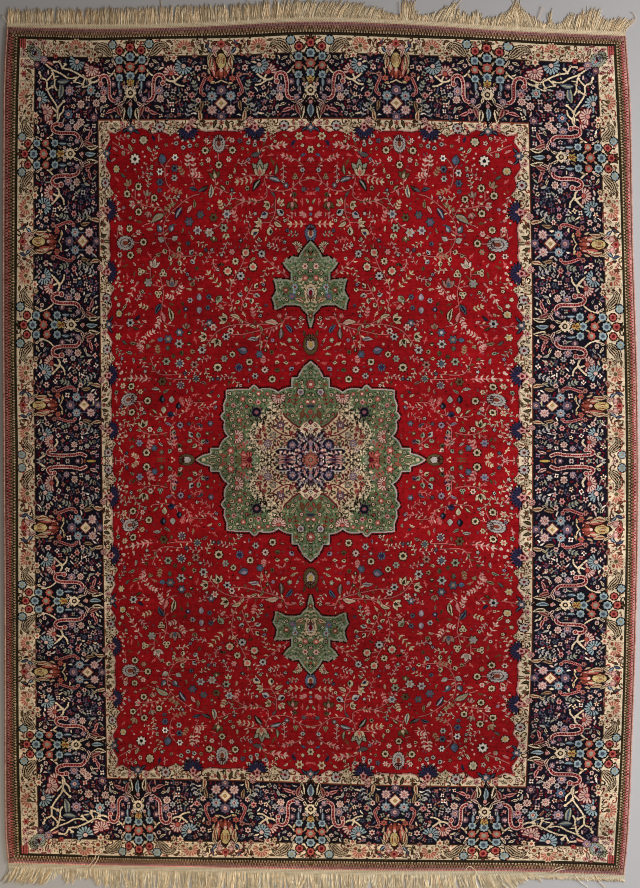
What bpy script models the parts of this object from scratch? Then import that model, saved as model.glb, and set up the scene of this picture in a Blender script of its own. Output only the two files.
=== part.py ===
"""A room-size hand-knotted carpet, laid flat: its pile, two overcast sides and two fringed ends.

X runs across the carpet, Y along it and Z up, in metres. The origin is on the floor, in the middle
of the carpet's bounding box. The carpet is woven unevenly, so its sides bow out and its ends aren't
square: each edge is a smooth curve through a short table of stations.
"""

import random
from collections import namedtuple

import bmesh
import bpy

# Driving dimensions
PILE_THICKNESS = 0.010
PILE_EDGE_ROUNDING = 0.003
SELVAGE_DIAMETER = 0.010
WEB_WIDTH = 0.015  # the flat-woven strip past the last row of knots
WEB_THICKNESS = 0.0036
CLEARANCE = 0.0003  # between pieces that are sewn or woven together

# How finely the edges are followed
SIDE_STEPS = 40
END_STEPS = 30

# A lock stands for a bundle of warp yarns
LOCKS_PER_END = 146
LOCK_SHARE = 0.70  # of the pitch that a lock fills at its root
LOCK_RINGS = (0.5, 1.0)  # places along a lock, as shares of its length
LOCK_TIP_WIDTH = 0.62  # of the root's width
LOCK_TIP_HEIGHT = 0.70  # of the web's thickness
LOCK_TOP_SHARE = 0.60  # a lock's upper face is narrower than the one it lies on
LOCK_LENGTH_SPREAD = 0.07
CURL_LENGTH = 0.10  # how far out a lock takes its full lean

Side = namedtuple("Side", "along edge")
LEFT_SIDE = (
    Side(-1.968, -1.477),
    Side(-1.812, -1.490),
    Side(-1.200, -1.493),
    Side(-0.680, -1.495),
    Side(-0.019, -1.499),
    Side(0.640, -1.502),
    Side(1.586, -1.499),
    Side(1.822, -1.493),
    Side(1.977, -1.482),
)
RIGHT_SIDE = (
    Side(-2.025, 1.437),
    Side(-1.812, 1.457),
    Side(-1.340, 1.476),
    Side(-1.010, 1.488),
    Side(-0.349, 1.503),
    Side(0.312, 1.499),
    Side(0.972, 1.478),
    Side(1.586, 1.467),
    Side(1.935, 1.445),
)

End = namedtuple("End", "across edge")
TOP_END = (
    End(-1.482, 1.977),
    End(-1.088, 1.970),
    End(-0.804, 1.972),
    End(-0.521, 1.981),
    End(-0.049, 2.003),
    End(0.423, 1.989),
    End(0.895, 1.959),
    End(1.445, 1.935),
)
BOTTOM_END = (
    End(-1.477, -1.968),
    End(-1.088, -1.979),
    End(-0.521, -1.990),
    End(0.187, -2.003),
    End(0.895, -2.008),
    End(1.437, -2.025),
)

# How far the locks reach past the last knots, and how many metres they lean to +X in each metre
Lock = namedtuple("Lock", "across reach lean")
TOP_LOCKS = (
    Lock(-1.482, 0.078, -0.05),
    Lock(-1.200, 0.086, 0.00),
    Lock(-0.800, 0.094, 0.00),
    Lock(-0.330, 0.092, 0.05),
    Lock(-0.090, 0.096, 0.10),
    Lock(0.090, 0.094, 0.50),
    Lock(0.370, 0.080, 0.55),
    Lock(0.490, 0.052, 0.45),
    Lock(0.570, 0.088, 0.55),
    Lock(0.640, 0.060, 0.40),
    Lock(0.780, 0.088, 0.35),
    Lock(0.840, 0.066, 0.35),
    Lock(0.930, 0.124, 0.00),
    Lock(1.030, 0.080, -0.25),
    Lock(1.080, 0.062, 0.05),
    Lock(1.180, 0.074, 0.30),
    Lock(1.280, 0.100, 0.60),
    Lock(1.445, 0.092, 0.80),
)
BOTTOM_LOCKS = (
    Lock(-1.477, 0.092, -0.55),
    Lock(-1.350, 0.092, -0.70),
    Lock(-1.250, 0.092, -0.60),
    Lock(-1.180, 0.088, 0.00),
    Lock(-1.100, 0.064, 0.10),
    Lock(-1.060, 0.064, 0.05),
    Lock(-1.000, 0.098, 0.00),
    Lock(0.470, 0.100, 0.05),
    Lock(0.700, 0.098, 0.40),
    Lock(0.850, 0.080, 0.80),
    Lock(0.960, 0.046, 0.80),
    Lock(1.060, 0.032, 0.40),
    Lock(1.437, 0.034, 0.30),
)


def column(table, name):
    """A table's rows as (place, value) pairs, for the column called name."""
    return [(row[0], getattr(row, name)) for row in table]


def curve(pairs, place):
    """A smooth curve through (place, value) pairs, read at one place; straight past its ends."""
    last = len(pairs) - 1
    slopes = []
    for i in range(last + 1):
        (a, va), (b, vb) = pairs[max(i - 1, 0)], pairs[min(i + 1, last)]
        slopes.append((vb - va) / (b - a))
    if place <= pairs[0][0]:
        return pairs[0][1] + slopes[0] * (place - pairs[0][0])
    if place >= pairs[last][0]:
        return pairs[last][1] + slopes[last] * (place - pairs[last][0])
    i = max(k for k in range(last) if pairs[k][0] <= place)
    (a, va), (b, vb) = pairs[i], pairs[i + 1]
    span = b - a
    t = (place - a) / span
    rise = t * t * (3 - 2 * t)
    return (
        va * (1 - rise)
        + vb * rise
        + span * slopes[i] * t * (1 - t) ** 2
        - span * slopes[i + 1] * t * t * (1 - t)
    )


def side_edge(side, along):
    return curve(column(side, "edge"), along)


def end_edge(end, across):
    return curve(column(end, "edge"), across)


def corner(side, end):
    """Where a side's outer edge meets an end's last row of knots."""
    across = side[0].edge
    for _ in range(5):
        along = end_edge(end, across)
        across = side_edge(side, along)
    return across, along


def spread(start, stop, steps):
    return [start + (stop - start) * i / steps for i in range(steps + 1)]


def material(name, colour, roughness):
    made = bpy.data.materials.new(name)
    made.use_nodes = True
    shader = made.node_tree.nodes["Principled BSDF"]
    shader.inputs["Base Color"].default_value = (*colour, 1.0)
    shader.inputs["Roughness"].default_value = roughness
    shader.inputs["Metallic"].default_value = 0.0
    return made


def add_object(name, data, made_of):
    data.materials.append(made_of)
    placed = bpy.data.objects.new(name, data)
    bpy.context.scene.collection.objects.link(placed)
    return placed


def add_mesh(name, mesh_builder, made_of):
    mesh = bpy.data.meshes.new(name)
    bmesh.ops.recalc_face_normals(mesh_builder, faces=mesh_builder.faces)
    mesh_builder.to_mesh(mesh)
    mesh_builder.free()
    return add_object(name, mesh, made_of)


def pile_outline():
    """Points round the knotted part, inside the overcast sides, anticlockwise."""
    inset = SELVAGE_DIAMETER + CLEARANCE
    (left_low, low_left), (left_high, high_left) = corner(LEFT_SIDE, BOTTOM_END), corner(LEFT_SIDE, TOP_END)
    (right_low, low_right), (right_high, high_right) = (
        corner(RIGHT_SIDE, BOTTOM_END),
        corner(RIGHT_SIDE, TOP_END),
    )
    bottom = [(x, end_edge(BOTTOM_END, x)) for x in spread(left_low + inset, right_low - inset, END_STEPS)]
    top = [(x, end_edge(TOP_END, x)) for x in spread(right_high - inset, left_high + inset, END_STEPS)]
    right = [
        (side_edge(RIGHT_SIDE, y) - inset, y) for y in spread(low_right, high_right, SIDE_STEPS)[1:-1]
    ]
    left = [(side_edge(LEFT_SIDE, y) + inset, y) for y in spread(high_left, low_left, SIDE_STEPS)[1:-1]]
    return bottom + right + top + left


def build_pile():
    """One flat slab of knots and foundation, with its upper rim rounded over."""
    builder = bmesh.new()
    floor_face = builder.faces.new([builder.verts.new((x, y, 0.0)) for x, y in pile_outline()])
    raised = bmesh.ops.extrude_face_region(builder, geom=[floor_face])["geom"]
    top_verts = [item for item in raised if isinstance(item, bmesh.types.BMVert)]
    bmesh.ops.translate(builder, verts=top_verts, vec=(0.0, 0.0, PILE_THICKNESS))
    rim = [item for item in raised if isinstance(item, bmesh.types.BMEdge)]
    bmesh.ops.bevel(
        builder,
        geom=rim,
        offset=PILE_EDGE_ROUNDING,
        segments=2,
        profile=0.5,
        affect="EDGES",
        clamp_overlap=True,
    )
    wool = material("wool_pile", (0.30, 0.035, 0.045), 0.9)
    return add_mesh("pile", builder, wool)


def build_selvage(name, side, inward, made_of):
    """The side's cord of warps, overcast with wool: a round cord along the bowed edge."""
    radius = SELVAGE_DIAMETER / 2
    _, low = corner(side, BOTTOM_END)
    _, high = corner(side, TOP_END)
    path = bpy.data.curves.new(name, "CURVE")
    path.dimensions = "3D"
    path.twist_mode = "Z_UP"
    path.bevel_depth = radius
    path.bevel_resolution = 2
    path.use_fill_caps = True
    spline = path.splines.new("POLY")
    spline.points.add(SIDE_STEPS)
    ends_clear = 4 * CLEARANCE
    for point, along in zip(spline.points, spread(low + ends_clear, high - ends_clear, SIDE_STEPS)):
        point.co = (side_edge(side, along) + inward * radius, along, radius, 1.0)
    return add_object(name, path, made_of)


def web_places():
    """Shares across the web where a lock starts or ends, so that locks and gaps take turns."""
    pitch = 1.0 / LOCKS_PER_END
    places = [0.0]
    for i in range(LOCKS_PER_END):
        middle = (i + 0.5) * pitch
        places += [middle - 0.5 * LOCK_SHARE * pitch, middle + 0.5 * LOCK_SHARE * pitch]
    return places + [1.0]


def lock_rings(root_left, root_right, table, outward, rng):
    """The four-cornered rings of one lock past its root, lying level on the floor."""
    middle = (root_left[0] + root_right[0]) / 2
    root_along = (root_left[1] + root_right[1]) / 2
    root_width = root_right[0] - root_left[0]
    length = curve(column(table, "reach"), middle) - WEB_WIDTH
    length *= 1 + rng.uniform(-LOCK_LENGTH_SPREAD, LOCK_LENGTH_SPREAD)
    lean = curve(column(table, "lean"), middle)
    rings = []
    for share in LOCK_RINGS:
        out = length * share
        across = middle + lean * out * (0.5 + 0.5 * out / CURL_LENGTH)
        width = root_width * (1 + (LOCK_TIP_WIDTH - 1) * share)
        height = WEB_THICKNESS * (1 + (LOCK_TIP_HEIGHT - 1) * share)
        along = root_along + outward * out
        rings.append(
            (
                (across - width / 2, along, 0.0),
                (across + width / 2, along, 0.0),
                (across + width / 2 * LOCK_TOP_SHARE, along, height),
                (across - width / 2 * LOCK_TOP_SHARE, along, height),
            )
        )
    return rings


def build_fringe(name, end, outward, table, made_of, seed):
    """A narrow flat-woven web with its warp ends as locks, which stand apart past the web."""
    rng = random.Random(seed)
    left, _ = corner(LEFT_SIDE, end)
    right, _ = corner(RIGHT_SIDE, end)
    builder = bmesh.new()
    columns = []
    for share in web_places():
        x = left + (right - left) * share
        inner = end_edge(end, x) + outward * CLEARANCE
        outer = end_edge(end, x) + outward * WEB_WIDTH
        corners = ((inner, 0.0), (outer, 0.0), (outer, WEB_THICKNESS), (inner, WEB_THICKNESS))
        columns.append([builder.verts.new((x, y, z)) for y, z in corners])
    builder.faces.new(columns[0])
    builder.faces.new(columns[-1])
    for i, (a, b) in enumerate(zip(columns, columns[1:])):
        for low, high in ((0, 1), (2, 3), (3, 0)):
            builder.faces.new((a[low], b[low], b[high], a[high]))
        is_lock = i % 2 == 1
        if not is_lock:
            builder.faces.new((a[1], b[1], b[2], a[2]))
            continue
        ring = [a[1], b[1], b[2], a[2]]
        for points in lock_rings(a[1].co, b[1].co, table, outward, rng):
            fresh = [builder.verts.new(point) for point in points]
            for k in range(4):
                nxt = (k + 1) % 4
                builder.faces.new((ring[k], ring[nxt], fresh[nxt], fresh[k]))
            ring = fresh
        builder.faces.new(ring)
    return add_mesh(name, builder, made_of)


def clear_scene():
    for old in list(bpy.data.objects):
        bpy.data.objects.remove(old, do_unlink=True)


def main():
    clear_scene()
    build_pile()
    overcast = material("overcast_wool", (0.55, 0.36, 0.27), 0.85)
    build_selvage("selvage_left", LEFT_SIDE, 1, overcast)
    build_selvage("selvage_right", RIGHT_SIDE, -1, overcast)
    cotton = material("warp_cotton", (0.62, 0.50, 0.33), 0.8)
    build_fringe("fringe_top", TOP_END, 1, TOP_LOCKS, cotton, seed=11)
    build_fringe("fringe_bottom", BOTTOM_END, -1, BOTTOM_LOCKS, cotton, seed=12)


main()
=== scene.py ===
"""The looks of a room-size hand-knotted carpet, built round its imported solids.

Lengths are in metres, except in the charted design, whose places are in centimetres.
"""

import math
import random

import bpy
import numpy as np
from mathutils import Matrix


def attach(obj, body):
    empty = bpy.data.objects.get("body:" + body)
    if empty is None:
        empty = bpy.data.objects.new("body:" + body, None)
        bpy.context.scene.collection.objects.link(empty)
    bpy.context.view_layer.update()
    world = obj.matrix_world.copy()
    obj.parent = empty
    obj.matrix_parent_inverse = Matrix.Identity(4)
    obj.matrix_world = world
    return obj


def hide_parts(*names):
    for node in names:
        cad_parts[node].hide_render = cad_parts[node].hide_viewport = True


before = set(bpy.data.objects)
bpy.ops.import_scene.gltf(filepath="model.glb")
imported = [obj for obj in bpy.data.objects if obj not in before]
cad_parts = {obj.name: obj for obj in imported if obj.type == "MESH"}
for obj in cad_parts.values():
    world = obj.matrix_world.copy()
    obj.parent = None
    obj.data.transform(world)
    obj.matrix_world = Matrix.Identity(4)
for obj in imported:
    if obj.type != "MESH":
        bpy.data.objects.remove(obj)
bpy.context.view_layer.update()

# ---------------------------------------------------------------------------
# The design, charted knot by knot: one quarter of it, which the weaver mirrors.
# Places are in centimetres across and along from the carpet's middle.
# ---------------------------------------------------------------------------
HALF_ACROSS = 149.0
HALF_ALONG = 200.0
KNOTS_ACROSS = 528
KNOTS_ALONG = 712
SIDE_IVORY = 143.4  # where the ivory band starts, inside the guard stripes
SIDE_NAVY = 134.6
SIDE_INNER = 102.0
END_IVORY = 194.5
END_NAVY = 186.0
END_INNER = 157.0
BAND = 8.7  # the ivory band's width
NAVY_SIDE = SIDE_NAVY - SIDE_INNER
NAVY_END = END_NAVY - END_INNER

YARNS = {
    "crimson": (150, 12, 20),
    "ruby": (108, 8, 14),
    "maroon": (54, 14, 16),
    "rose": (196, 92, 88),
    "pink": (196, 134, 126),
    "blush": (210, 174, 158),
    "coral": (174, 84, 72),
    "ivory": (222, 198, 165),
    "cream": (199, 174, 140),
    "sand": (154, 124, 94),
    "gold": (184, 150, 84),
    "straw": (200, 176, 116),
    "olive": (92, 76, 46),
    "moss": (42, 36, 22),
    "green": (93, 111, 76),
    "leaf": (62, 68, 42),
    "sage": (148, 146, 124),
    "navy": (16, 14, 27),
    "ink": (15, 7, 7),
    "indigo": (44, 42, 74),
    "blue": (86, 100, 124),
    "powder": (146, 162, 163),
    "lilac": (152, 128, 142),
    "mauve": (108, 76, 92),
    "pearl": (176, 164, 156),
    "rust": (128, 58, 40),
    "brown": (78, 46, 32),
    "umber": (38, 24, 18),
    "white": (234, 216, 198),
    "wine": (98, 12, 28),
    "slate": (76, 84, 98),
    "dusk": (156, 112, 98),
}
YARN_INDEX = {name: i for i, name in enumerate(YARNS)}

across_cm = (np.arange(KNOTS_ACROSS) + 0.5) * (HALF_ACROSS / KNOTS_ACROSS)
along_cm = (np.arange(KNOTS_ALONG) + 0.5) * (HALF_ALONG / KNOTS_ALONG)
ACROSS, ALONG = np.meshgrid(across_cm, along_cm)
chart = np.zeros((KNOTS_ALONG, KNOTS_ACROSS), np.uint8)


def table(text):
    """Rows of a text table as dictionaries; its first line names the columns."""
    names, *rows = [line.split() for line in text.strip().splitlines()]
    return [{name: v if v[0].isalpha() else float(v) for name, v in zip(names, row)} for row in rows]


def window(across, along, reach):
    """The part of the chart round a place, with each knot's offset from that place."""
    first = np.searchsorted(across_cm, across - reach)
    last = np.searchsorted(across_cm, across + reach)
    low = np.searchsorted(along_cm, along - reach)
    high = np.searchsorted(along_cm, along + reach)
    view = chart[low:high, first:last]
    return view, across_cm[None, first:last] - across, along_cm[low:high, None] - along


def turned(du, dv, turn):
    """Offsets measured along a direction, turn degrees round from +across, and beside it."""
    c, s = math.cos(math.radians(turn)), math.sin(math.radians(turn))
    return du * c + dv * s, dv * c - du * s


def moved(across, along, out, beside, turn):
    """The place that lies out along a direction and beside it."""
    c, s = math.cos(math.radians(turn)), math.sin(math.radians(turn))
    return across + out * c - beside * s, along + out * s + beside * c


def blob(across, along, radius, yarn, turn=0.0, stretch=1.0, lobes=0, depth=0.18):
    """A disc, an oval or a flower with round petals."""
    view, du, dv = window(across, along, radius * max(stretch, 1.0) + 0.2)
    u, v = turned(du, dv, turn)
    u = u / stretch
    edge = radius * (1 - depth + depth * np.cos(lobes * np.arctan2(v, u))) if lobes else radius
    view[np.hypot(u, v) < edge] = YARN_INDEX[yarn]


def stem(points, yarn, width=0.42):
    """A thin line through places, rounded at its corners."""
    points = np.array(points, float)
    for _ in range(2):  # corner cutting
        a, b = points[:-1], points[1:]
        cut = np.empty((2 * len(a), 2))
        cut[0::2], cut[1::2] = 0.75 * a + 0.25 * b, 0.25 * a + 0.75 * b
        points = np.vstack([points[:1], cut, points[-1:]])
    for (x0, y0), (x1, y1) in zip(points[:-1], points[1:]):
        reach = math.hypot(x1 - x0, y1 - y0) / 2 + width
        view, du, dv = window((x0 + x1) / 2, (y0 + y1) / 2, reach)
        turn = math.degrees(math.atan2(y1 - y0, x1 - x0))
        u, v = turned(du, dv, turn)
        u = np.maximum(np.abs(u) - (reach - width), 0)
        view[np.hypot(u, v) < width / 2 + 0.04] = YARN_INDEX[yarn]


def leaf(across, along, length, width, turn, yarn, vein=None, bend=0.0):
    """A pointed leaf that grows from a place."""
    view, du, dv = window(*moved(across, along, length / 2, 0, turn), length * 0.62)
    du = du + (length / 2) * math.cos(math.radians(turn))
    dv = dv + (length / 2) * math.sin(math.radians(turn))
    u, v = turned(du, dv, turn)
    share = np.clip(u / length, 0, 1)
    v = v - bend * 4 * share * (1 - share)
    half = width / 2 * np.sin(np.pi * share**0.8)
    inside = (u > 0) & (u < length)
    view[inside & (np.abs(v) < half)] = YARN_INDEX[yarn]
    if vein:
        view[inside & (np.abs(v) < half * 0.38) & (share < 0.85)] = YARN_INDEX[vein]


# ---------------------------------------------------------------------------
# Motifs: each is drawn at a place, a across and t along, with a size, a direction and the
# yarns of its body, its heart and its rim, whether it has use for all of these or not
# ---------------------------------------------------------------------------
def rosette(a, t, size, turn, yarn, heart, rim, petals=6):
    """A flower of round petals."""
    blob(a, t, size * 1.22, rim, turn, 1.0, petals)
    blob(a, t, size, yarn, turn, 1.0, petals)
    blob(a, t, size * 0.38, heart)


def star(a, t, size, turn, yarn, heart, rim):
    """A flower of eight sharp petals with a ringed heart."""
    blob(a, t, size * 1.18, rim, turn, 1.0, 8, 0.2)
    blob(a, t, size, yarn, turn, 1.0, 8, 0.24)
    blob(a, t, size * 0.52, rim, turn)
    blob(a, t, size * 0.4, heart, turn)


def ring(a, t, size, turn, yarn, heart, rim):
    """A nearly round blossom."""
    blob(a, t, size * 1.2, rim)
    blob(a, t, size, yarn, turn, 1.0, 8, 0.10)
    blob(a, t, size * 0.46, heart)


def wheel(a, t, size, turn, yarn, heart, rim, petals=8):
    """Separate petals round a heart."""
    blob(a, t, size * 1.1, rim)
    for k in range(petals):
        leaf(a, t, size * 1.05, size * 0.62, turn + 360 * k / petals, yarn)
    blob(a, t, size * 0.34, heart)


def dot(a, t, size, turn, yarn, heart, rim):
    blob(a, t, size, yarn)


def bud(a, t, size, turn, yarn, heart, rim):
    """A drop with a cheek of another colour, on a short stalk."""
    leaf(*moved(a, t, -1.25 * size, 0, turn), size * 2.9, size * 2.2, turn, rim)
    leaf(*moved(a, t, -1.1 * size, 0, turn), size * 2.5, size * 1.8, turn, yarn)
    leaf(*moved(a, t, -0.7 * size, 0.3 * size, turn), size * 1.5, size * 0.8, turn, heart)


def tulip(a, t, size, turn, yarn, heart, rim):
    """Three petals from one root."""
    root = moved(a, t, -0.9 * size, 0, turn)
    for swing, reach in ((-42, 1.9), (42, 1.9), (0, 2.1)):
        leaf(*root, size * (reach + 0.2), size * 1.25, turn + swing, rim)
        leaf(*root, size * reach, size * 0.95, turn + swing, yarn)
    leaf(*root, size * 1.3, size * 0.7, turn, heart)


def frond(a, t, size, turn, yarn, heart, rim):
    """A single leaf with a vein, its middle at the place."""
    leaf(*moved(a, t, -size * 1.1, 0, turn), size * 2.2, size * 0.95, turn, rim, None, size * 0.15)
    leaf(*moved(a, t, -size, 0, turn), size * 2.0, size * 0.7, turn, yarn, heart, size * 0.15)


def fern(a, t, size, turn, yarn, heart, rim):
    """A stalk with pairs of small leaves, its middle at the place."""
    start = moved(a, t, -size, 0, turn)
    end = moved(a, t, size, 0, turn)
    stem([start, end], heart, 0.35)
    pairs = max(3, int(size * 0.95))
    for k in range(pairs):
        out = -size + 2 * size * (k + 0.6) / pairs
        for swing in (52, -52):
            leaf(*moved(a, t, out, 0, turn), size * 0.2 + 1.3, 0.75, turn + swing, yarn)
    leaf(*moved(a, t, size * 0.85, 0, turn), size * 0.2 + 1.2, 0.9, turn, yarn)


def fan(a, t, size, turn, yarn, heart, rim, petals=9, spread=112):
    """A half flower that opens from its root, its petals parted by veins."""
    view, du, dv = window(a, t, size * 1.2)
    u, v = turned(du, dv, turn)
    far, angle = np.hypot(u, v), np.degrees(np.arctan2(v, u))
    lobe = np.abs(np.sin(np.pi * (angle / (2 * spread) + 0.5) * petals))
    opening = np.abs(angle) < spread
    edge = size * (0.74 + 0.26 * lobe)
    view[(far < edge * 1.1 + 0.2) & (np.abs(angle) < spread + 8)] = YARN_INDEX[rim]
    view[opening & (far < edge)] = YARN_INDEX[yarn]
    view[opening & (lobe < 0.52) & (far > size * 0.26) & (far < edge)] = YARN_INDEX[rim]
    blob(a, t, size * 0.34, rim)
    blob(a, t, size * 0.25, heart)


def palmette(a, t, size, turn, yarn, heart, rim, slim=0.72):
    """A toothed oval flower seen from its side, with nested petals."""
    layers = ((1.12, rim), (1.0, yarn), (0.66, rim), (0.56, "pearl"), (0.34, heart))
    for scale, layer in layers:
        view, du, dv = window(a, t, size * scale * 1.3)
        u, v = turned(du, dv, turn)
        v = v / slim
        angle = np.arctan2(v, u)
        teeth = 1 - 0.16 * np.abs(((angle * 16 / (2 * np.pi)) % 1) * 2 - 1)
        view[np.hypot(u, v) < size * scale * teeth] = YARN_INDEX[layer]
    for k in range(-3, 4):
        root = moved(a, t, size * 0.3, k * 0.08 * size, turn)
        tip = moved(a, t, size * 0.92, k * 0.24 * size, turn)
        stem([root, tip], rim, 0.25)


def trefoil(a, t, size, turn, yarn, heart, rim):
    """Three round petals with dark middles."""
    places = [moved(a, t, size * 0.55, 0, turn + swing) for swing in (0, 120, 240)]
    for place in places:
        blob(*place, size * 0.66, rim)
    for place in places:
        blob(*place, size * 0.52, yarn)
        blob(*place, size * 0.24, heart)


# A paisley's body along its bend: out, beside and radius, as shares of its size
PAISLEY = (
    (-0.90, -0.50, 0.33), (-0.62, -0.18, 0.47), (-0.30, 0.17, 0.50), (0.12, 0.40, 0.41), (0.50, 0.42, 0.29),
    (0.82, 0.25, 0.19), (1.00, -0.05, 0.12),
)


def paisley(a, t, size, turn, yarn, heart, rim, flip=1):
    """A long curled drop with a striped body."""
    body = [PAISLEY[0]]
    for (x0, y0, r0), (x1, y1, r1) in zip(PAISLEY[:-1], PAISLEY[1:]):
        body.append(((x0 + x1) / 2, (y0 + y1) / 2, (r0 + r1) / 2))
        body.append((x1, y1, r1))
    stripes = ((1.0, 0.45, rim), (1.0, 0.0, yarn), (0.74, 0.0, rim), (0.42, 0.0, yarn), (0.24, 0.0, rim))
    for scale, edge, layer in stripes:
        for x, y, radius in body:
            blob(*moved(a, t, size * x, flip * size * y, turn), size * radius * scale + edge, layer)


def petal(a, t, size, turn, yarn, heart, rim):
    """A long blunt petal with a row of spots, its middle at the place."""
    blob(a, t, size * 0.31, rim, turn, 3.4)
    blob(a, t, size * 0.24, yarn, turn, 4.1)
    for share in (-0.62, -0.22, 0.2, 0.6):
        blob(*moved(a, t, size * share, 0, turn), size * 0.09 + 0.12, heart)


def pod(a, t, size, turn, yarn, heart, rim):
    """A fat oval with a drop in it."""
    blob(a, t, size, rim, turn, 1.55)
    blob(a, t, size * 0.82, yarn, turn, 1.65)
    leaf(*moved(a, t, -size * 0.6, 0, turn), size * 1.3, size * 0.55, turn, heart)


def diamond(a, t, size, turn, yarn, heart, rim):
    """A lozenge inside a lozenge."""
    for scale, layer in ((1.25, rim), (1.0, yarn), (0.42, rim), (0.32, heart)):
        view, du, dv = window(a, t, size * scale * 1.1)
        u, v = turned(du, dv, turn)
        view[np.abs(u) + np.abs(v) < size * scale] = YARN_INDEX[layer]


def daisy(a, t, size, turn, yarn, heart, rim):
    """A rosette of eight petals with a ringed heart."""
    blob(a, t, size * 1.16, rim, turn, 1.0, 8, 0.10)
    blob(a, t, size, yarn, turn, 1.0, 8, 0.14)
    blob(a, t, size * 0.50, rim, turn)
    blob(a, t, size * 0.40, "blush", turn)
    blob(a, t, size * 0.22, heart, turn)


def scroll(points, width, edge, body, core):
    """A thick curling stem in three colours, beaded along its middle."""
    stem(points, "ink", width * 1.75)
    stem(points, edge, width * 1.30)
    stem(points, body, width * 0.72)
    path = np.array(points, float)
    for (x0, y0), (x1, y1) in zip(path[:-1], path[1:]):
        steps = max(1, int(math.hypot(x1 - x0, y1 - y0) / (width * 0.8)))
        for k in range(steps):
            blob(x0 + (x1 - x0) * k / steps, y0 + (y1 - y0) * k / steps, width * 0.24, core)
    for share, yarn in ((0.95, edge), (0.66, body), (0.34, core)):
        blob(*points[0], width * share, yarn)


def glory(a, t, size, turn, yarn, heart, rim):
    """Long slim petals with a small ringed heart, parted by the ground."""
    for k in range(8):
        leaf(a, t, size * (1.15 if k % 2 else 0.95), size * 0.48, turn + 45 * k, yarn)
        blob(*moved(a, t, size * 0.72, 0, turn + 45 * k), size * 0.10, heart)
    blob(a, t, size * 0.42, yarn)
    blob(a, t, size * 0.30, heart)
    blob(a, t, size * 0.14, rim)


MOTIFS = {
    motif.__name__: motif
    for motif in (
        rosette, star, ring, wheel, dot, bud, tulip, frond, fern, fan, palmette, trefoil, paisley, petal, pod,
        diamond, daisy, glory,
    )
}


def put(row, a, t, scale, turn, rim, **extra):
    """Draws a table row's motif; a row that names no rim gets the one given."""
    motif = MOTIFS[row["kind"]]
    motif(a, t, row["size"] * scale, turn, row["yarn"], row["heart"], row.get("rim", rim), **extra)


def draw(rows, rim, scale=1.0):
    """Draws a table's motifs at their places in the chart."""
    for row in rows:
        put(row, row["across"], row["along"], scale, row["turn"], rim)


def curl(a, t, size, turn, shape, yarn, width):
    """A hooked tendril; returns the place of its root."""
    places = [moved(a, t, size * x, size * y, turn) for x, y in shape]
    stem(places, yarn, width)
    return places[0]


# ---------------------------------------------------------------------------
# Small motifs that are strewn by chance, each with its own size, turn and yarns
# ---------------------------------------------------------------------------
def free(across, along, reach, grounds):
    """Whether only these grounds are charted round a place, as far as reach."""
    view, du, dv = window(across, along, reach)
    near = np.hypot(du, dv) < reach
    return bool(np.isin(view[near], [YARN_INDEX[g] for g in grounds]).all())


def strew(strewn, low, high, grounds, rng, share=1.0):
    """Draws small motifs at places by chance in a box of the chart, where only the grounds are charted yet.

    For each motif, strewn has how many places are tried and how much room it needs round them.
    """
    for count, room, motif in strewn:
        for _ in range(int(count * share)):
            a, t = rng.uniform(low[0], high[0]), rng.uniform(low[1], high[1])
            if free(a, t, room, grounds):
                motif(a, t, rng)


def little_roundel(a, t, rng):
    """An outlined blossom for the medallion's green."""
    size = rng.uniform(0.85, 1.25)
    blob(a, t, size * 1.05, rng.choice(("moss", "umber", "ink", "maroon")), rng.uniform(0, 60), 1.0, 6, 0.1)
    yarn = rng.choice(("cream", "coral", "ivory", "cream", "blush", "sage", "ivory"))
    blob(a, t, size * 0.72, yarn, 0, 1.0, 5, 0.15)
    blob(a, t, size * 0.30, rng.choice(("wine", "ink", "moss", "wine")))


def little_twig(a, t, rng, yarns=("sage", "cream", "sage", "olive", "leaf")):
    """A bent twig with three leaves."""
    yarn, turn, size = rng.choice(yarns), rng.uniform(0, 360), rng.uniform(0.9, 1.5)
    stem([moved(a, t, -size, 0.3, turn), (a, t), moved(a, t, size, 0.3, turn)], yarn, 0.32)
    for out, swing in ((-0.3, 50), (0.3, -50), (0.9, 10)):
        leaf(*moved(a, t, size * out, 0, turn), size * 0.9, 0.65, turn + swing, yarn)


def little_dash(a, t, rng, yarns=("moss", "umber", "sage", "coral", "cream", "moss", "rust")):
    """A short leaf."""
    leaf(a, t, rng.uniform(0.8, 1.5), rng.uniform(0.5, 0.75), rng.uniform(0, 360), rng.choice(yarns))


def dashes(yarns):
    """A motif to strew: short leaves in these yarns."""
    return lambda a, t, rng: little_dash(a, t, rng, yarns)


DARK_CURL = ((-1.2, 0.7), (-0.6, -0.3), (0.3, -0.6), (0.9, 0.1), (0.3, 0.5))


def dark_curl(a, t, rng):
    """A dark tendril with a drop at its root, for the medallion's cream heart."""
    turn, size = rng.uniform(0, 360), rng.uniform(0.7, 1.15)
    yarn = rng.choice(("umber", "maroon", "ink", "brown", "wine"))
    root = curl(a, t, size, turn, DARK_CURL, yarn, 0.48)
    blob(*root, rng.uniform(0.45, 0.7), rng.choice((yarn, "wine", "leaf", "coral")))


def field_sprig(a, t, rng):
    """A loose twig, or a small outlined blossom, between the field's stems."""
    if rng.random() < 0.4:
        size = rng.uniform(0.75, 1.2)
        blob(a, t, size * 1.3, "maroon", 0, 1.0, 5)
        blob(a, t, size, rng.choice(("slate", "cream", "sage", "pink", "mauve", "blush", "sand")), 0, 1.0, 5)
        blob(a, t, size * 0.4, rng.choice(("ink", "wine", "cream", "ink")))
    else:
        little_twig(a, t, rng, ("pink", "rose", "cream", "rose", "sand", "olive", "rose"))


SPRAY_LEAVES = 6


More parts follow.
